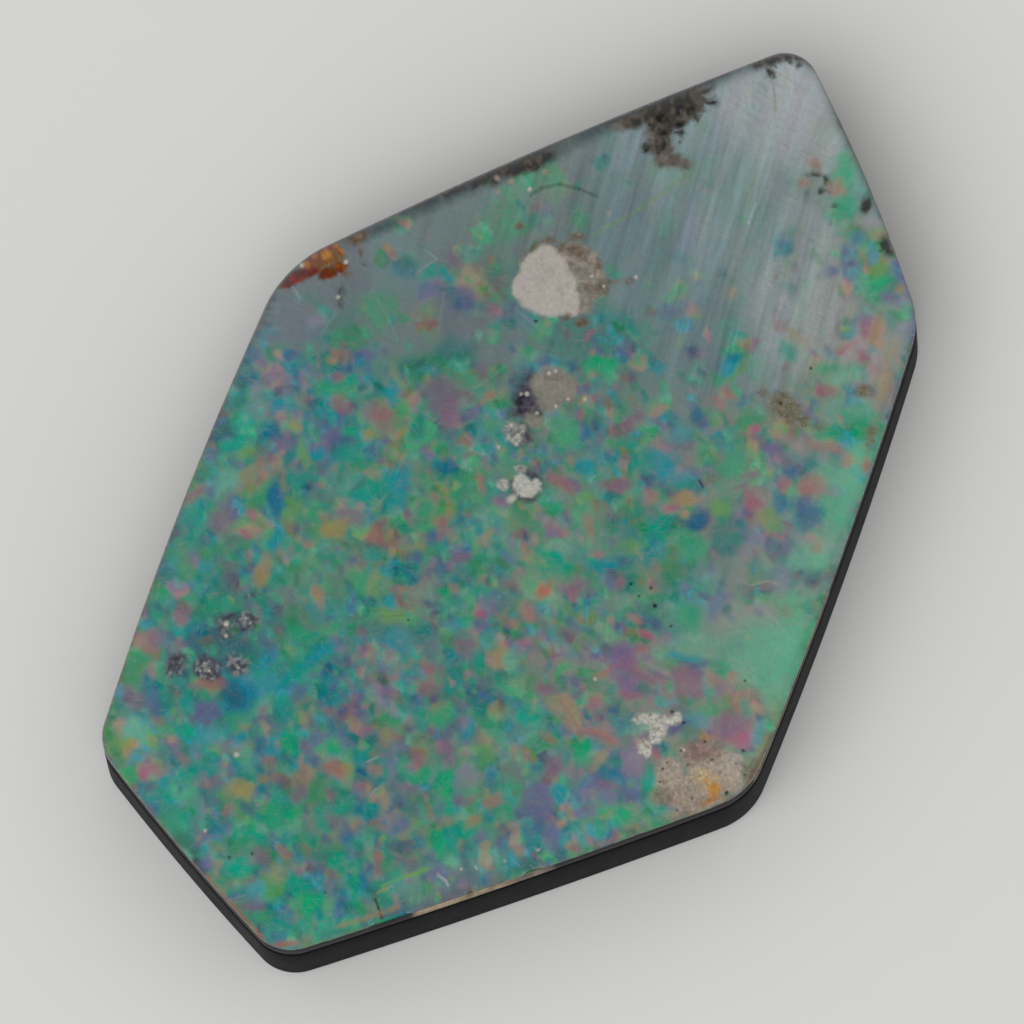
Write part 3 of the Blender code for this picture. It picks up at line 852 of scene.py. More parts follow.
def view_axes():
    """The camera's right, up and back directions."""
    across = Vector((math.cos(VIEW_AZIMUTH), math.sin(VIEW_AZIMUTH), 0.0))
    back = direction(VIEW_AZIMUTH, VIEW_ELEVATION)
    upward = back.cross(across)
    right = across * math.cos(VIEW_ROLL) - upward * math.sin(VIEW_ROLL)
    up = across * math.sin(VIEW_ROLL) + upward * math.cos(VIEW_ROLL)
    return right, up, back


def photo_places(points):
    """Where points of the stone, in millimetres, lie in the photograph, in its pixels."""
    right, up, back = (np.array(axis) for axis in view_axes())
    offset = points - np.array(VIEW_TARGET)
    depth = VIEW_DISTANCE - offset @ back
    scale = PIXELS_PER_MM * VIEW_DISTANCE / depth
    middle = PHOTO_PIXELS / 2
    return middle + scale * (offset @ right), middle - scale * (offset @ up)


def make_camera():
    data = bpy.data.cameras.new("camera")
    data.sensor_width = SENSOR
    data.lens = SENSOR * PIXELS_PER_MM * VIEW_DISTANCE / PHOTO_PIXELS
    data.clip_start, data.clip_end = VIEW_CLIP
    camera = bpy.data.objects.new("camera", data)
    bpy.context.scene.collection.objects.link(camera)
    right, up, back = view_axes()
    place = (Vector(VIEW_TARGET) + back * VIEW_DISTANCE) * MM
    facing = Matrix((right, up, back)).transposed().to_4x4()
    camera.matrix_world = Matrix.Translation(place) @ facing
    bpy.context.scene.camera = camera


# Painting the opal, worked out in photograph pixels

def tint(name):
    return linear(TINTS[name])


def cloud(x, y, size, seed, octaves=3):
    """Soft random values from 0 to 1, whose largest waves are about size across."""
    table = np.random.default_rng(seed).random((CLOUD_TABLE, CLOUD_TABLE))
    total = np.zeros_like(x)
    weight = 0.0
    for octave in range(octaves):
        u = x * 2 ** octave / size + OCTAVE_SHIFT[0] * octave
        v = y * 2 ** octave / size + OCTAVE_SHIFT[1] * octave
        column = np.floor(u).astype(int)
        row = np.floor(v).astype(int)
        s = smooth_step(0.0, 1.0, u - column)
        t = smooth_step(0.0, 1.0, v - row)
        left, right = column % CLOUD_TABLE, (column + 1) % CLOUD_TABLE
        top, low = row % CLOUD_TABLE, (row + 1) % CLOUD_TABLE
        upper = table[top, left] * (1 - s) + table[top, right] * s
        lower = table[low, left] * (1 - s) + table[low, right] * s
        total += (upper * (1 - t) + lower * t) * 0.5 ** octave
        weight += 0.5 ** octave
    return total / weight


def warp(x, y, size, amount, seed):
    """The places moved about by noise, so that what is drawn there has uneven edges."""
    dx = cloud(x, y, size, seed) - 0.5
    dy = cloud(x, y, size, seed + 1) - 0.5
    return x + dx * amount, y + dy * amount


def tilted(x, y, tilt):
    """How far the places lie along and across a direction at this tilt."""
    along = x * math.cos(tilt) + y * math.sin(tilt)
    across = y * math.cos(tilt) - x * math.sin(tilt)
    return along, across


def ground(x, y):
    """The slowly changing ground at each place: its light, its share of patches, its streaks."""
    weights = []
    for place_x, place_y, reach, _, _, _ in ZONES:
        squared = ((x - place_x) ** 2 + (y - place_y) ** 2) / reach ** 2
        weights.append(1.0 / (ZONE_CORE + squared) ** 2)
    weights = np.array(weights)
    weights /= weights.sum(0)
    lights = np.array([tint(name) for _, _, _, name, _, _ in ZONES])
    riches = np.array([rich for _, _, _, _, rich, _ in ZONES])
    streaks = np.array([streak for _, _, _, _, _, streak in ZONES])
    return np.einsum("kn,kc->nc", weights, lights), riches @ weights, streaks @ weights


def cells(x, y, size, seed):
    """A mosaic of irregular cells. For each place: how much further the second nearest cell's
    middle is than the nearest's, and for both cells their middle and six random numbers."""
    table = np.random.default_rng(seed).random((CELL_TABLE, CELL_TABLE, CELL_NUMBERS))
    column = np.floor(x / size).astype(int)
    row = np.floor(y / size).astype(int)
    near = np.full(x.shape, np.inf)
    next_near = np.full(x.shape, np.inf)
    first = np.zeros(x.shape + (CELL_NUMBERS,))
    second = np.zeros(x.shape + (CELL_NUMBERS,))
    for step_x in (-1, 0, 1):
        for step_y in (-1, 0, 1):
            random = table[(row + step_y) % CELL_TABLE, (column + step_x) % CELL_TABLE].copy()
            random[:, MIDDLE_X] = (column + step_x + random[:, MIDDLE_X]) * size
            random[:, MIDDLE_Y] = (row + step_y + random[:, MIDDLE_Y]) * size
            distance = np.hypot(random[:, MIDDLE_X] - x, random[:, MIDDLE_Y] - y)
            closer = distance < near
            between = ~closer & (distance < next_near)
            second = np.where(closer[:, None], first, np.where(between[:, None], random, second))
            next_near = np.where(closer, near, np.where(between, distance, next_near))
            first = np.where(closer[:, None], random, first)
            near = np.where(closer, distance, near)
    return next_near - near, first, second


def ring_light(at):
    """The light of the ring of tints at a share of the way round it, each tint as wide as its
    share, passing softly into the next."""
    lights = np.array([tint(name) for name, _ in TINT_RING])
    shares = np.array([share for _, share in TINT_RING])
    shares /= shares.sum()
    middles = np.cumsum(shares) - shares / 2
    middles = np.concatenate([[middles[-1] - 1], middles, [middles[0] + 1]])
    lights = np.vstack([lights[-1:], lights, lights[:1]])
    return np.stack([np.interp(at % 1.0, middles, lights[:, k]) for k in range(3)], axis=1)


class Canvas:
    """The opal's light at each of its places, built up layer by layer, and what the material
    draws finer than the mesh: the turn and depth of the grain, the streaks and the grit."""

    def __init__(self, x, y):
        self.x = x
        self.y = y
        self.light, self.rich, self.streak = ground(x, y)
        self.warped_x, self.warped_y = x, y
        for size, amount, seed in PATCH_WARPS:
            self.warped_x, self.warped_y = warp(self.warped_x, self.warped_y, size, amount, seed)
        self.grain_turn = np.zeros_like(x)
        self.grain_depth = np.full(x.shape, PLAIN_GRAIN)
        self.grit = np.zeros_like(x)

    def near(self, x, y, reach):
        """Indices of the places within reach of this one, in a square round it."""
        return np.flatnonzero((np.abs(self.x - x) < reach) & (np.abs(self.y - y) < reach))

    def lay(self, where, light, cover):
        """Covers the places with the light, each by its share."""
        self.light[where] += (light - self.light[where]) * cover[:, None]


def cell_layer(canvas, cell, along, across, mosaic, mottle):
    """The light of one of the two nearest cells at each place, and how strongly it covers."""
    size, stretch, tilt, _, present, strength, _ = mosaic
    middle_x, middle_y = tilted(cell[:, MIDDLE_X] * stretch, cell[:, MIDDLE_Y], -math.radians(tilt))
    lean = cloud(middle_x, middle_y, LEAN_SIZE, LEAN_SEED, octaves=2) - 0.5
    way = cell[:, WAY] * math.tau
    off_x = along - cell[:, MIDDLE_X]
    off_y = across - cell[:, MIDDLE_Y]
    side = (off_x * np.cos(way) + off_y * np.sin(way)) / size
    at = cell[:, HUE] * HUE_RANGE + lean * LEAN_RANGE + side * SIDE_RANGE + mottle + 1.0
    shown = np.clip((present * canvas.rich - cell[:, SHOWN]) * SHOWN_SHARPNESS + 0.5, 0.0, 1.0)
    cover = shown * strength * (CELL_COVER[0] + CELL_COVER[1] * cell[:, COVER])
    cover = cover * (1.0 - CELL_FADE * smooth_step(0.0, CELL_FADE_END, side))
    lift = CELL_LIFT[0] + CELL_LIFT[1] * (cell[:, SHOWN] * LIFT_SCATTER % 1.0)
    return ring_light(at) * lift[:, None], cover


def lay_mosaics(canvas):
    """Covers the ground with soft cells whose colours shift across them."""
    for mosaic in MOSAICS:
        size, stretch, tilt, seed, _, strength, softest = mosaic
        x, y = canvas.x, canvas.y
        for wave, amount, more in MOSAIC_WARPS:
            x, y = warp(x, y, size * wave, size * amount, seed + more)
        along, across = tilted(x, y, math.radians(tilt))
        along = along / stretch
        gap, first, second = cells(along, across, size, seed)
        mottle = cloud(canvas.x, canvas.y, MOTTLE_SIZE, seed + MOTTLE_SEED, octaves=2) - 0.5
        mottle = mottle * MOTTLE_RANGE
        light, cover = cell_layer(canvas, first, along, across, mosaic, mottle)
        next_light, next_cover = cell_layer(canvas, second, along, across, mosaic, mottle)
        grained = (first[:, GRAIN] < GRAINED_CELLS) & (cover > GRAIN_COVER * strength)
        canvas.grain_turn = np.where(cover > TURN_COVER, first[:, EDGE] * math.pi, canvas.grain_turn)
        canvas.grain_depth = np.where(grained, 1.0, canvas.grain_depth)
        soft = softest * (CELL_SOFTNESS[0] + CELL_SOFTNESS[1] * first[:, EDGE] ** 2)
        own = 0.5 + 0.5 * smooth_step(0.0, soft, gap)
        light = light * own[:, None] + next_light * (1 - own[:, None])
        canvas.light += (light - canvas.light) * (cover * own + next_cover * (1 - own))[:, None]


def lay_washes(canvas):
    """Makes the mosaic rosier or greener, zone by zone."""
    red = np.full(canvas.x.shape, PLAIN_WARMTH)
    for x, y, reach, more in WASHES:
        red += more * np.exp(-((canvas.x - x) ** 2 + (canvas.y - y) ** 2) / reach ** 2)
    canvas.light[:, 0] *= 1.0 + red * np.minimum(WASH_RICHNESS * canvas.rich, 1.0)


def measures(row):
    """A row's middle, half-length, half-width and tilt in radians, with those left out filled in."""
    x, y, length = row[:3]
    width = row[3] if len(row) > 3 else length
    tilt = math.radians(row[4]) if len(row) > 4 else 0.0
    return x, y, length, width, tilt


def lay_patch(canvas, light, place, chances):
    """Lays one patch of colour, which passes into a lighter or darker one across it and fades to
    one side."""
    x, y, length, width, tilt = place
    lift, fade, turn, grain = chances
    grained = grain < GRAINED_SHARE and width < GRAINED_PATCH
    soft = PATCH_SOFTNESS + PATCH_OWN_SOFTNESS * min(length, width)
    length, width = length * PATCH_GROWTH, width * PATCH_GROWTH
    where = canvas.near(x, y, max(length, width) * PATCH_REACH + soft + PATCH_MARGIN)
    if len(where) == 0:
        return
    along, across = tilted(canvas.warped_x[where] - x, canvas.warped_y[where] - y, tilt)
    along, across = along / length, across / width
    far = (np.abs(along) ** ROUNDNESS + np.abs(across) ** ROUNDNESS) ** (1 / ROUNDNESS)
    inside = (1.0 - far) * min(length, width)
    side = along * math.cos(turn * math.tau) + across * math.sin(turn * math.tau)
    cover = smooth_step(-soft * SOFT_OUTSIDE, soft * SOFT_INSIDE, inside) * PATCH_STRENGTH
    cover = cover * (1.0 - PATCH_FADE * fade * smooth_step(*FADE_SPAN, side))
    share = smooth_step(*SHIFT_SPAN, across)[:, None]
    second = light * (PATCH_LIFT[0] + PATCH_LIFT[1] * lift)
    canvas.lay(where, light * (1 - share) + second * share, cover)
    if grained:
        held = where[cover > GRAIN_COVER * PATCH_STRENGTH]
        canvas.grain_turn[held] = tilt - LEVEL_TURN
        canvas.grain_depth[held] = 1.0


def lay_patches(canvas):
    """Lays the listed patches, the largest first."""
    random = np.random.default_rng(PATCH_SEED)
    rows = [(name, measures(row)) for name, group in PATCHES.items() for row in group]
    rows.sort(key=lambda item: -item[1][2] * item[1][3])
    for name, place in rows:
        lay_patch(canvas, tint(name), place, random.random(4))


def inside_marks(x, y, rows):
    """How many pixels each place lies inside the nearest of the rows' ellipses, less than none
    outside them."""
    inside = np.full(x.shape, FAR_OUTSIDE)
    for row in rows:
        middle_x, middle_y, length, width, tilt = measures(row)
        along, across = tilted(x - middle_x, y - middle_y, tilt)
        far = np.sqrt((along / length) ** 2 + (across / width) ** 2)
        inside = np.maximum(inside, (1.0 - far) * min(length, width))
    return inside


def lay_marks(canvas):
    """Lays the foreign matter: lumps, stains and dendrites, each with its speckles, and the
    painted shade along the far rim.
    """
    for number, (kind, rows) in enumerate(MARKS):
        base, pale, pale_strength, dark, dark_strength, size, ragged, soft = KINDS[kind]
        warp_seed, fine_warp_seed, mottle_seed, fine_seed = MARK_SEEDS
        x, y = warp(canvas.x, canvas.y, size * RAGGED_WAVE, ragged, warp_seed + 2 * number)
        x, y = warp(x, y, FINE_MOTTLING, ragged * FINE_RAGGED, fine_warp_seed + 2 * number)
        inside = inside_marks(x, y, rows)
        where = np.flatnonzero(inside > -soft)
        if len(where) == 0:
            continue
        x, y = canvas.x[where], canvas.y[where]
        mottle = cloud(x, y, size, mottle_seed + number, octaves=2) - 0.5
        fine = cloud(x, y, FINE_MOTTLING, fine_seed + number, octaves=1) - 0.5
        mottle = mottle + FINE_SHARE * dark_strength * fine
        light = np.repeat(tint(base)[None], len(where), axis=0)
        light += (tint(pale) - light) * smooth_step(0.0, MOTTLE_SPAN, mottle)[:, None] * pale_strength
        light += (tint(dark) - light) * smooth_step(0.0, -MOTTLE_SPAN, mottle)[:, None] * dark_strength
        cover = smooth_step(-soft, soft, inside[where])
        canvas.lay(where, light, cover)
        canvas.grain_depth[where] *= 1.0 - cover
        canvas.streak[where] *= 1.0 - cover
        canvas.grit[where] += (dark_strength - canvas.grit[where]) * cover


def lay_specks(canvas):
    for name, rows in SPECKS.items():
        for x, y, radius in rows:
            where = canvas.near(x, y, radius + SPECK_MARGIN)
            far = np.hypot(canvas.x[where] - x, canvas.y[where] - y)
            edge = radius * SPECK_SIZE
            cover = smooth_step(edge + LINE_BLUR, edge - LINE_BLUR, far) * SPECK_STRENGTH
            canvas.lay(where, tint(name), cover)


def from_stretch(x, y, start, end):
    """How far the places lie from the straight stretch between two points."""
    along_x = end[0] - start[0]
    along_y = end[1] - start[1]
    dx = x - start[0]
    dy = y - start[1]
    share = np.clip((dx * along_x + dy * along_y) / (along_x ** 2 + along_y ** 2), 0.0, 1.0)
    return np.hypot(dx - share * along_x, dy - share * along_y)


def lay_lines(canvas):
    for name, width, strength, *points in LINES:
        for start, end in zip(points, points[1:]):
            middle_x = (start[0] + end[0]) / 2
            middle_y = (start[1] + end[1]) / 2
            where = canvas.near(middle_x, middle_y, math.dist(start, end) / 2 + width + LINE_MARGIN)
            far = from_stretch(canvas.x[where], canvas.y[where], start, end)
            cover = smooth_step(width * 0.5 + LINE_BLUR, width * 0.5 - LINE_CORE, far) * strength
            canvas.lay(where, tint(name), cover)


def painted(x, y):
    """The canvas of these places, with all that shows in the opal."""
    canvas = Canvas(x, y)
    for lay in (lay_mosaics, lay_patches, lay_washes, lay_marks, lay_specks, lay_lines):
        lay(canvas)
    return canvas


def detail_map():
    """How fine the face's lattice is at each pixel: 0 where plain, 1 in the mosaic, 2 round marks,
    specks and lines."""
    span = np.arange(PHOTO_PIXELS, dtype=float)
    coarse = span[::COARSE_STEP]
    column, row = np.meshgrid(coarse, coarse)
    _, rich, _ = ground(column.ravel(), row.ravel())
    plain = (rich < PLAIN_RICHNESS).reshape(column.shape)
    detail = np.where(plain.repeat(COARSE_STEP, axis=0).repeat(COARSE_STEP, axis=1), 0, 1)
    discs = [measures(row)[:4] for _, rows in MARKS for row in rows]
    discs += [(x, y, radius, radius) for rows in SPECKS.values() for x, y, radius in rows]
    for x, y, length, width in discs:
        reach = max(length, width) + DETAIL_MARGIN
        left, right = max(0, int(x - reach)), int(x + reach)
        top, low = max(0, int(y - reach)), int(y + reach)
        column, row = np.meshgrid(span[left:right], span[top:low])
        detail[top:low, left:right][np.hypot(column - x, row - y) < reach] = 2
    for _, _, _, *points in LINES:
        for start, end in zip(points, points[1:]):
            for share in np.linspace(0.0, 1.0, max(2, int(math.dist(start, end) / 2))):
                x = int(start[0] + (end[0] - start[0]) * share)
                y = int(start[1] + (end[1] - start[1]) * share)
                detail[y - LINE_DETAIL:y + LINE_DETAIL + 1, x - LINE_DETAIL:x + LINE_DETAIL + 1] = 2
    return detail


# Meshes

def outline_of(node):
    """A node's outline, as points in order round its top face, in millimetres."""
    points = np.array([vertex.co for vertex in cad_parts[node].data.vertices]) / MM
    top = points[points[:, 2] > points[:, 2].max() - SAME_LEVEL][:, :2]
    ring = np.unique(np.round(top, 4), axis=0)
    return ring[np.argsort(np.arctan2(ring[:, 1], ring[:, 0]))]


def smooth_ring(points, count):
    """A smooth closed curve through the points, as evenly spaced points."""
    before, after, later = (np.roll(points, shift, axis=0) for shift in (1, -1, -2))
    gap_before, gap, gap_after = (
        np.sqrt(np.linalg.norm(end - start, axis=1))[:, None]
        for start, end in ((before, points), (points, after), (after, later))
    )
    start = gap * (
        (points - before) / gap_before
        - (after - before) / (gap_before + gap)
        + (after - points) / gap
    )
    end = gap * (
        (after - points) / gap
        - (later - points) / (gap + gap_after)
        + (later - after) / gap_after
    )
    pieces = []
    for t in np.linspace(0.0, 1.0, CURVE_STEPS, endpoint=False):
        pieces.append(
            (2 * t ** 3 - 3 * t ** 2 + 1) * points
            + (t ** 3 - 2 * t ** 2 + t) * start
            + (-2 * t ** 3 + 3 * t ** 2) * after
            + (t ** 3 - t ** 2) * end
        )
    dense = np.stack(pieces, axis=1).reshape(-1, 2)
    closed = np.vstack([dense, dense[:1]])
    travelled = np.concatenate([[0], np.cumsum(np.linalg.norm(np.diff(closed, axis=0), axis=1))])
    wanted = np.linspace(0.0, travelled[-1], count, endpoint=False)
    return np.stack([np.interp(wanted, travelled, closed[:, k]) for k in range(2)], axis=1)


def stone_outline():
    """The stone's outline, smooth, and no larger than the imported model's box."""
    ring = smooth_ring(outline_of("opal_slice"), OUTLINE_POINTS)
    box = np.array(cad_high.xy) / MM
    return ring * np.minimum(1.0, box / np.abs(ring).max(axis=0))


def outward(ring):
    """Unit directions that point out of the ring."""
    along = np.roll(ring, -1, axis=0) - np.roll(ring, 1, axis=0)
    normal = np.stack([along[:, 1], -along[:, 0]], axis=1)
    return normal / np.linalg.norm(normal, axis=1)[:, None]


def chip_depths(ring):
    """How deep the rim is worn and chipped at each of its points, in millimetres."""
    x, y = photo_places(np.column_stack([ring, np.full(len(ring), CHIP_MIDDLE)]))
    depths = (cloud(x, y, WEAR_WAVE, WEAR_SEED, octaves=2) - WEAR_MIDDLE) * WEAR_DEPTH
    uneven = CHIP_UNEVEN[0] + CHIP_UNEVEN[1] * cloud(x, y, CHIP_WAVE, CHIP_SEED, octaves=2)
    for chip_x, chip_y, reach, depth in CHIPS:
        far = np.hypot(x - chip_x, y - chip_y) / reach
        depths += depth * uneven * smooth_step(1.0, CHIP_FLOOR, far)
    return np.clip(depths, 0.0, DEEPEST_CHIP)


def level_ring(ring, inset, z):
    """The ring moved inward by inset, and by its chips, and set at height z in space."""
    inset = np.broadcast_to(inset, len(ring))
    chipped = chip_depths(ring) * smooth_step(*CHIP_HEIGHT, np.abs(np.mean(z) - CHIP_MIDDLE))
    flat = ring - outward(ring) * (inset + chipped)[:, None]
    return np.column_stack([flat, np.broadcast_to(z, len(ring))])


def ring_faces(first, second, count):
    """The faces between two rings of count points, whose first points have these indices."""
    faces = []
    for i in range(count):
        j = (i + 1) % count
        faces.append((first + i, first + j, second + j, second + i))
    return faces


def make_piece(name, points, faces, material):
    mesh = bpy.data.meshes.new(name)
    mesh.from_pydata((np.asarray(points) * MM).tolist(), [], faces)
    mesh.validate()
    mesh.shade_smooth()
    mesh.set_sharp_from_angle(angle=SMOOTH_ANGLE)
    mesh.materials.append(material)
    piece = bpy.data.objects.new(name, mesh)
    bpy.context.scene.collection.objects.link(piece)
    return piece


def ringed_solid(rings):
    """A closed solid from rings that run from its underside, up and over, to its top. Both ends
    close on a point at the middle of the first and the last ring."""
    count = len(rings[0])
    points = np.vstack(rings + [rings[0].mean(0)[None], rings[-1].mean(0)[None]])
    faces = []
    for k in range(len(rings) - 1):
        faces += ring_faces(k * count, (k + 1) * count, count)
    under = len(rings) * count
    over = under + 1
    last = (len(rings) - 1) * count
    for i in range(count):
        j = (i + 1) % count
        faces.append((under, j, i))
        faces.append((over, last + i, last + j))
    return points, faces


def make_cap(outline, material):
    """The clear cap: its foot in the seam, its round shoulder and its slightly crowned top."""
    low = UPPER_SEAM - CAP_OVERLAP
    reach = np.linalg.norm(outline, axis=1)
    crown = CAP_TOP - CAP_RIM

    def crowned(ring, z):
        fraction = np.linalg.norm(ring[:, :2], axis=1) / reach
        ring[:, 2] = z + crown * (1.0 - fraction ** 2)
        return ring

    rings = [level_ring(outline, inset, low + rise) for inset, rise in CAP_FOOT]
    for step in range(SHOULDER_STEPS + 1):
        angle = math.pi / 2 * step / SHOULDER_STEPS
        z = CAP_RIM - CAP_SHOULDER * (1.0 - math.sin(angle))
        rings.append(crowned(level_ring(outline, CAP_SHOULDER * (1.0 - math.cos(angle)), z), z))
    inner = rings[-1]
    for step in range(1, CROWN_RINGS):
        share = 1.0 - step / CROWN_RINGS
        rings.append(crowned(inner * (share, share, 1.0), CAP_RIM))
    points, faces = ringed_solid(rings)
    points[-1, 2] = CAP_TOP
    return make_piece("clear_cap", points, faces, material)


def make_backing(outline, material):
    """The black backing, with its chamfer below and an eased edge at the seam."""
    rings = [level_ring(outline, inset, z) for inset, z in BACKING_PROFILE]
    points, faces = ringed_solid(rings)
    return make_piece("black_base", points, faces, material)


def lattice_level(ring, level, detail):
    """The lattice places of one level of detail inside the ring."""
    spacing = LATTICE_PIXELS[level] / PIXELS_PER_MM
    low, high = ring.min(0), ring.max(0)
    columns = np.arange(low[0], high[0], spacing)
    rows = np.arange(low[1], high[1], spacing * math.sqrt(3) / 2)
    lattice_x, lattice_y = np.meshgrid(columns, rows)
    lattice_x[::2] += spacing / 2
    lattice = np.stack([lattice_x.ravel(), lattice_y.ravel()], axis=1)
    x, y = photo_places(np.column_stack([lattice, np.full(len(lattice), SEEN_LEVEL)]))
    column, row = (np.clip(np.round(place).astype(int), 0, PHOTO_PIXELS - 1) for place in (x, y))
    lattice = lattice[detail[row, column] == level]
    rim, out = nearest_rim(lattice, ring)
    return lattice[np.einsum("nc,nc->n", rim - lattice, out) > spacing * 0.5]


def face_lattice(ring):
    """Triangles that fill the ring, finer where there is more to see: their places, the ring's
    own first, and their faces."""
    detail = detail_map()
    levels = [lattice_level(ring, level, detail) for level in range(len(LATTICE_PIXELS))]
    places = [Vector(place) for place in np.vstack([ring] + levels)]
    result = delaunay_2d_cdt(places, [], [list(range(len(ring)))], 1, SAME_PLACE, False)
    faces = np.array(result[2])
    used, renumbered = np.unique(faces, return_inverse=True)
    return np.array(result[0])[used], renumbered.reshape(faces.shape).tolist()


def make_slice(outline, face_material, side_material):
    """The opal slice: a fine flat face that carries the play of colour, and plain sides."""
    edge = level_ring(outline, SLICE_EDGE, UPPER_SEAM)
    places, faces = face_lattice(edge[:, :2])
    count = len(edge)
    points = [np.column_stack([places, np.full(len(places), UPPER_SEAM)])]
    above = 0
    face_count = len(faces)
    for number, (inset, z) in enumerate(SLICE_SIDES):
        below = len(places) + number * count
        faces += ring_faces(below, above, count)
        points.append(level_ring(outline, inset, z))
        above = below
    under = len(places) + len(SLICE_SIDES) * count
    points.append(points[-1].mean(0)[None])
    faces += [(under, above + (i + 1) % count, above + i) for i in range(count)]
    points = np.vstack(points)
    piece = make_piece("opal", points, faces, face_material)
    piece.data.materials.append(side_material)
    slots = np.zeros(len(faces), np.int32)
    slots[face_count:] = 1
    piece.data.polygons.foreach_set("material_index", slots)
    paint_slice(piece.data, points, len(places), outline)
    return piece


# What the cap above it does to the view of the opal's face

def nearest_rim(places, ring):
    """For each place, the nearest of the ring's points and the direction out of the ring there."""
    normals = outward(ring)[::RIM_STEP]
    ring = ring[::RIM_STEP]
    nearest = np.zeros(len(places), int)
    least = np.full(len(places), np.inf)
    for number, point in enumerate(ring):
        far = (places[:, 0] - point[0]) ** 2 + (places[:, 1] - point[1]) ** 2
        closer = far < least
        nearest[closer] = number
        least[closer] = far[closer]
    return ring[nearest], normals[nearest]


def cap_surface(places, rim, out):
    """The cap's height and outward direction over each place."""
    inset = np.clip(np.einsum("nc,nc->n", rim - places, out), 0.0, None)
    lean = np.clip(1.0 - inset / CAP_SHOULDER, 0.0, STEEPEST)
    rise = np.sqrt(1.0 - lean ** 2)
    crown = (CAP_TOP - CAP_RIM) * smooth_step(0.0, CROWN_REACH, inset)
    height = CAP_RIM - CAP_SHOULDER * (1.0 - rise) + crown
    return height, np.column_stack([out * lean[:, None], rise])


def bent_rays(normals):
    """Directions of the rays from the camera once the cap's surface has bent them."""
    ray = -np.array(view_axes()[2])
    facing = np.clip(-normals @ ray, GRAZING, 1.0)
    ratio = 1.0 / QUARTZ_IOR
    root = np.sqrt(1.0 - ratio ** 2 * (1.0 - facing ** 2))
    return ratio * ray + (ratio * facing - root)[:, None] * normals


def mirrored_light(normals):
    """The light that the cap mirrors to the camera from its surroundings."""
    back = np.array(view_axes()[2])
    facing = np.clip(normals @ back, GRAZING, 1.0)
    height = 2.0 * facing * normals[:, 2] - back[2]
    sky = SKY_LOW + (SKY_HIGH - SKY_LOW) * smooth_step(*SKY_FALL, height)
    flat = ((QUARTZ_IOR - 1.0) / (QUARTZ_IOR + 1.0)) ** 2
    return sky * (flat + (1.0 - flat) * (1.0 - facing) ** 5)


def seen_through_cap(points, ring):
    """Where points on the opal's face show in the photograph, bent by the cap above them, and
    the light mirrored there."""
    above = points[:, :2].copy()
    rim, out = nearest_rim(above, ring)
    for _ in range(BENDING_STEPS):
        height, normals = cap_surface(above, rim, out)
        rays = bent_rays(normals)
        shift = rays[:, :2] * ((height - UPPER_SEAM) / -rays[:, 2])[:, None]
        above += (points[:, :2] - shift - above) * 0.5
    x, y = photo_places(np.column_stack([above, height]))
    return x, y, mirrored_light(normals)


def side_light(x, y):
    """What shows of the slice's own edge: dark all round, with paler stretches."""
    light = np.repeat(tint("coal")[None], len(x), axis=0)
    mottle = smooth_step(*SIDE_MOTTLE_SPAN, cloud(x, y, SIDE_WAVE, SIDE_SEED, octaves=2))
    for name, start, end in SIDE_STRETCHES:
        cover = smooth_step(*SIDE_REACH, from_stretch(x, y, start, end))
        cover *= SIDE_COVER[0] + SIDE_COVER[1] * mottle
        light += (tint(name) - light) * cover[:, None]
    return light


def paint_slice(mesh, points, face_count, ring):
    """Writes the play of colour, its grain, streaks and grit on the slice's points, for the
    materials to read. The face's own points come first."""
    x, y, mirrored = seen_through_cap(points[:face_count], ring)
    canvas = painted(x, y)
    colours = np.ones((len(points), 4), np.float32)
    colours[:face_count, :3] = under_cap(canvas.light, mirrored)
    colours[face_count:, :3] = side_light(*photo_places(points[face_count:]))
    mesh.attributes.new("play", "FLOAT_COLOR", "POINT").data.foreach_set("color", colours.ravel())
    for name in ("grain_turn", "grain_depth", "streak", "grit"):
        values = np.zeros(len(points), np.float32)
        values[:face_count] = getattr(canvas, name)
        mesh.attributes.new(name, "FLOAT", "POINT").data.foreach_set("value", values)


# Materials

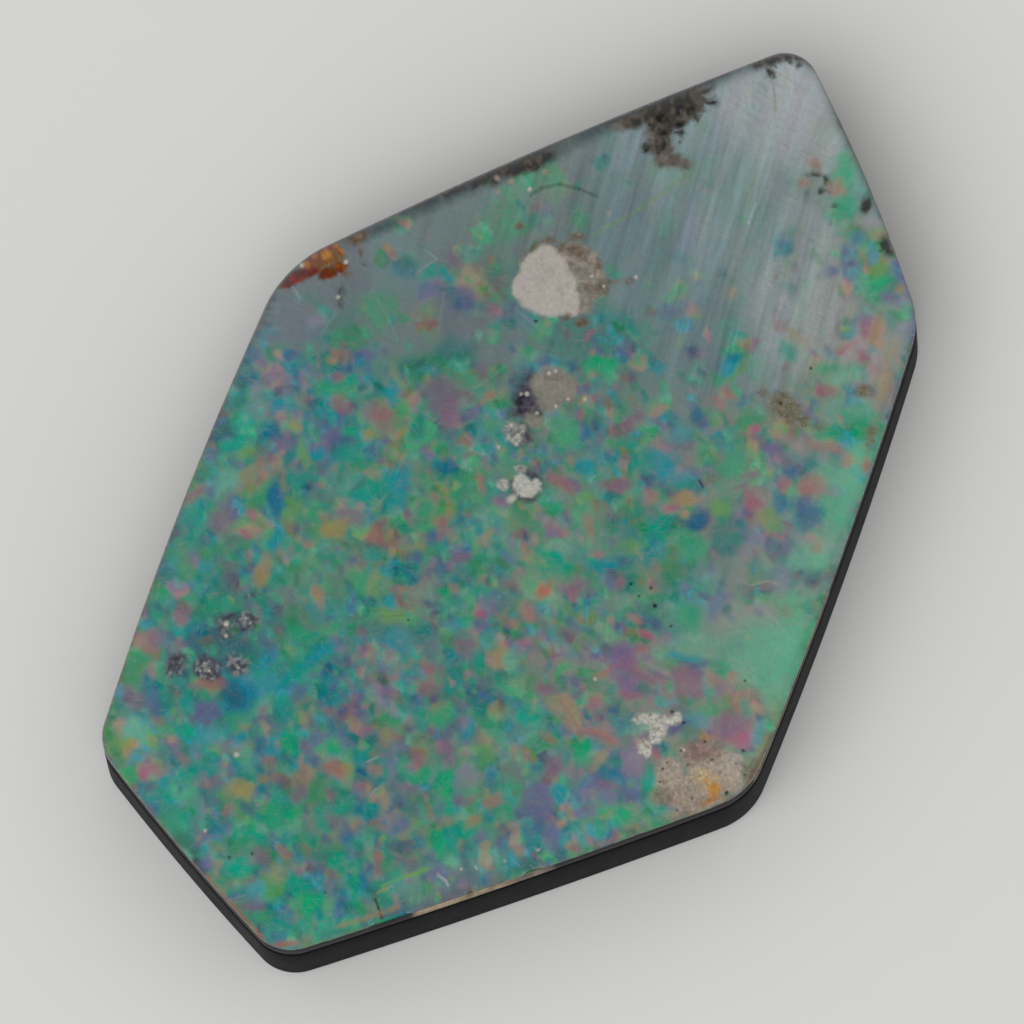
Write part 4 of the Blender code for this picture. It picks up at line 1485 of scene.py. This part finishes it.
class Graph:
    """The nodes of one material, or of the world, linked as they are added."""

    def __init__(self, owner, shader="Principled BSDF"):
        owner.use_nodes = True
        self.nodes = owner.node_tree.nodes
        self.links = owner.node_tree.links
        self.shader = self.nodes[shader]

    def feed(self, socket, value):
        if isinstance(value, bpy.types.NodeSocket):
            self.links.new(value, socket)
        else:
            socket.default_value = value

    def node(self, kind, inputs, output=0, **settings):
        """Adds a node, feeds its inputs and gives one of its outputs."""
        node = self.nodes.new("ShaderNode" + kind)
        for name, value in settings.items():
            setattr(node, name, value)
        for socket, value in inputs.items():
            self.feed(node.inputs[socket], value)
        return node.outputs[output]

    def math(self, operation, *values):
        return self.node("Math", dict(enumerate(values)), operation=operation)

    def vector(self, operation, *values):
        return self.node("VectorMath", dict(enumerate(values)), operation=operation)

    def mix(self, share, first, second):
        return self.node("Mix", {0: share, 6: first, 7: second}, 2, data_type="RGBA")

    def step(self, low, high, value, start=0.0, end=1.0):
        """Passes smoothly from start to end as the value goes from low to high."""
        inputs = {"Value": value, "From Min": low, "From Max": high, "To Min": start, "To Max": end}
        return self.node("MapRange", inputs, interpolation_type="SMOOTHSTEP")

    def noise(self, place, scale, detail=2.0, roughness=0.5, output="Fac"):
        inputs = {"Vector": place, "Scale": scale, "Detail": detail, "Roughness": roughness}
        return self.node("TexNoise", inputs, output)

    def drawn_noise(self, place, scales, detail, roughness=0.5):
        """Noise whose scale differs from axis to axis, so that it looks drawn out."""
        return self.noise(self.vector("MULTIPLY", place, scales), 1.0, detail, roughness)

    def swing(self, value, depth):
        """One, raised and lowered by depth as the value goes either side of a half."""
        return self.math("MULTIPLY_ADD", self.math("SUBTRACT", value, 0.5), depth, 1.0)

    def spread(self, share, least, width):
        """Goes from least, and up by width, as the share goes from 0 to 1."""
        return self.math("MULTIPLY_ADD", share, width, least)

    def scaled(self, colour, factor):
        return self.node("VectorMath", {0: colour, "Scale": factor}, operation="SCALE")

    def turned(self, place, angle):
        return self.node("VectorRotate", {"Vector": place, "Angle": angle}, rotation_type="Z_AXIS")

    def attribute(self, name, output="Fac"):
        return self.node("Attribute", {}, output, attribute_name=name)

    def millimetres(self):
        place = self.node("TexCoord", {}, "Object")
        return self.vector("MULTIPLY", place, (1.0 / MM, 1.0 / MM, 1.0 / MM))

    def set(self, **values):
        for name, value in values.items():
            self.feed(self.shader.inputs[name.replace("_", " ")], value)


def hairs(graph, place, grained, colour, scales, strength, pale):
    """Fine pale hairs over the colour, where a drawn-out noise is high and there is grain."""
    share = graph.step(*HAIR_NOISE, graph.drawn_noise(place, scales, detail=3.0))
    share = graph.math("MULTIPLY", share, graph.step(0.0, HAIRY_GRAIN, grained))
    return graph.mix(graph.math("MULTIPLY", share, strength), colour, pale)


def face_lift(graph, place, turned, grained):
    """How much lighter or darker the face is, for its grain, its streaks and its grit."""
    grain = graph.drawn_noise(turned, GRAIN_SCALES, detail=4.0, roughness=0.6)
    lift = graph.swing(grain, graph.math("MULTIPLY", grained, GRAIN_SWING))
    upright = graph.turned(place, STREAK_TURN)
    streaks = graph.drawn_noise(upright, STREAK_SCALES, detail=4.0, roughness=0.66)
    streak_depth = graph.math("MULTIPLY", graph.attribute("streak"), STREAK_SWING)
    lift = graph.math("MULTIPLY", lift, graph.swing(streaks, streak_depth))
    grit_depth = graph.math("MULTIPLY", graph.attribute("grit"), GRIT_SWING)
    grit = graph.noise(place, GRIT_SCALE, detail=3.0, roughness=0.75)
    return graph.math("MULTIPLY", lift, graph.swing(grit, grit_depth))


def opal_face_material(material):
    """The painted play of colour, with hairs and grain in its patches and upright streaks."""
    graph = Graph(material)
    place = graph.millimetres()
    grain_turn = graph.attribute("grain_turn")
    grained = graph.attribute("grain_depth")
    turned = graph.turned(place, grain_turn)
    slanting = graph.turned(place, graph.math("ADD", grain_turn, HAIR_SLANT))
    motley = graph.noise(place, MOTLEY_SCALE, output="Color")
    tones = graph.vector("MULTIPLY_ADD", motley, *MOTLEY_TONES)
    colour = graph.vector("MULTIPLY", graph.attribute("play", "Color"), tones)
    drawn_out = graph.vector("MULTIPLY", graph.turned(place, STREAK_TURN), STREAK_SCALES)
    streak_motley = graph.noise(drawn_out, STREAK_MOTLEY_SCALE, detail=3.0, output="Color")
    streak_tones = graph.vector("MULTIPLY_ADD", streak_motley, *STREAK_TONES)
    colour = graph.mix(graph.attribute("streak"), colour, graph.vector("MULTIPLY", colour, streak_tones))
    colour = hairs(graph, turned, grained, colour, *WARM_HAIRS)
    colour = hairs(graph, slanting, grained, colour, *COOL_HAIRS)
    lift = face_lift(graph, place, turned, grained)
    graph.set(Base_Color=graph.scaled(colour, lift), Roughness=0.6, Specular_IOR_Level=0.0)


def opal_side_material(material):
    graph = Graph(material)
    mottle = graph.noise(graph.millimetres(), scale=6.0, detail=4.0)
    lift = graph.spread(mottle, least=0.6, width=0.8)
    colour = graph.scaled(graph.attribute("play", "Color"), lift)
    graph.set(Base_Color=colour, Roughness=0.5, Specular_IOR_Level=0.1)


def backing_material(material):
    graph = Graph(material)
    mottle = graph.noise(graph.millimetres(), scale=1.5, detail=4.0)
    colour = graph.mix(mottle, *BLACKS)
    roughness = graph.spread(mottle, least=0.38, width=0.15)
    graph.set(Base_Color=colour, Roughness=roughness, Specular_IOR_Level=0.02)


def cap_material(material):
    graph = Graph(material)
    polish = graph.noise(graph.millimetres(), scale=0.8, detail=3.0)
    tone = graph.mix(polish, *CLEAR_TONES)
    roughness = graph.math("MULTIPLY", polish, CAP_ROUGHNESS)
    graph.set(Base_Color=tone, Roughness=roughness, Transmission_Weight=1.0, IOR=QUARTZ_IOR)


def floor_material(material):
    graph = Graph(material)
    mottle = graph.noise(graph.millimetres(), scale=0.02)
    colour = graph.mix(mottle, *FLOOR_TONES)
    graph.set(Base_Color=colour, Roughness=0.7, Specular_IOR_Level=0.2)


def made(name, dress):
    """A new material, with the nodes that dress gives it."""
    material = bpy.data.materials.new(name)
    dress(material)
    return material


# The stage

def make_floor():
    corners = [(x * FLOOR_HALF, y * FLOOR_HALF, 0) for x, y in ((-1, -1), (1, -1), (1, 1), (-1, 1))]
    floor = make_piece("floor", corners, [(0, 1, 2, 3)], made("pale_floor", floor_material))
    floor.location.z = FLOOR_LEVEL * MM


def make_world():
    """Soft light from all sides, dimmer overhead so that the flat cap mirrors little of it."""
    world = bpy.data.worlds.new("soft_light")
    bpy.context.scene.world = world
    graph = Graph(world, "Background")
    height = graph.node("SeparateXYZ", {0: graph.node("TexCoord", {}, "Generated")}, "Z")
    graph.set(Color=(1.0, 1.0, 1.0, 1.0), Strength=graph.step(*SKY_FALL, height, SKY_LOW, SKY_HIGH))


def make_softbox():
    data = bpy.data.lights.new("softbox", "AREA")
    data.shape = "SQUARE"
    data.size = SOFTBOX_SIDE
    data.energy = SOFTBOX_WATTS
    light = bpy.data.objects.new("softbox", data)
    bpy.context.scene.collection.objects.link(light)
    back = direction(SOFTBOX_AZIMUTH, SOFTBOX_ELEVATION)
    light.location = back * SOFTBOX_DISTANCE
    light.rotation_mode = "QUATERNION"
    light.rotation_quaternion = back.to_track_quat("Z", "Y")
    light.visible_glossy = False


def main():
    outline = stone_outline()
    black = made("black_backing_polish", backing_material)
    play = made("play_of_colour", opal_face_material)
    side = made("opal_side", opal_side_material)
    clear = made("clear_quartz_polish", cap_material)
    pieces = (
        (make_backing(outline, black), "backing", "black_backing"),
        (make_slice(outline, play, side), "opal_slice", "precious_opal"),
        (make_cap(outline, clear), "quartz_cap", "clear_quartz"),
    )
    for piece, node, slot in pieces:
        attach(piece, "root")
        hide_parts(node)
    make_floor()
    make_world()
    make_softbox()
    make_camera()
    bpy.context.scene.view_settings.view_transform = "Standard"


main()
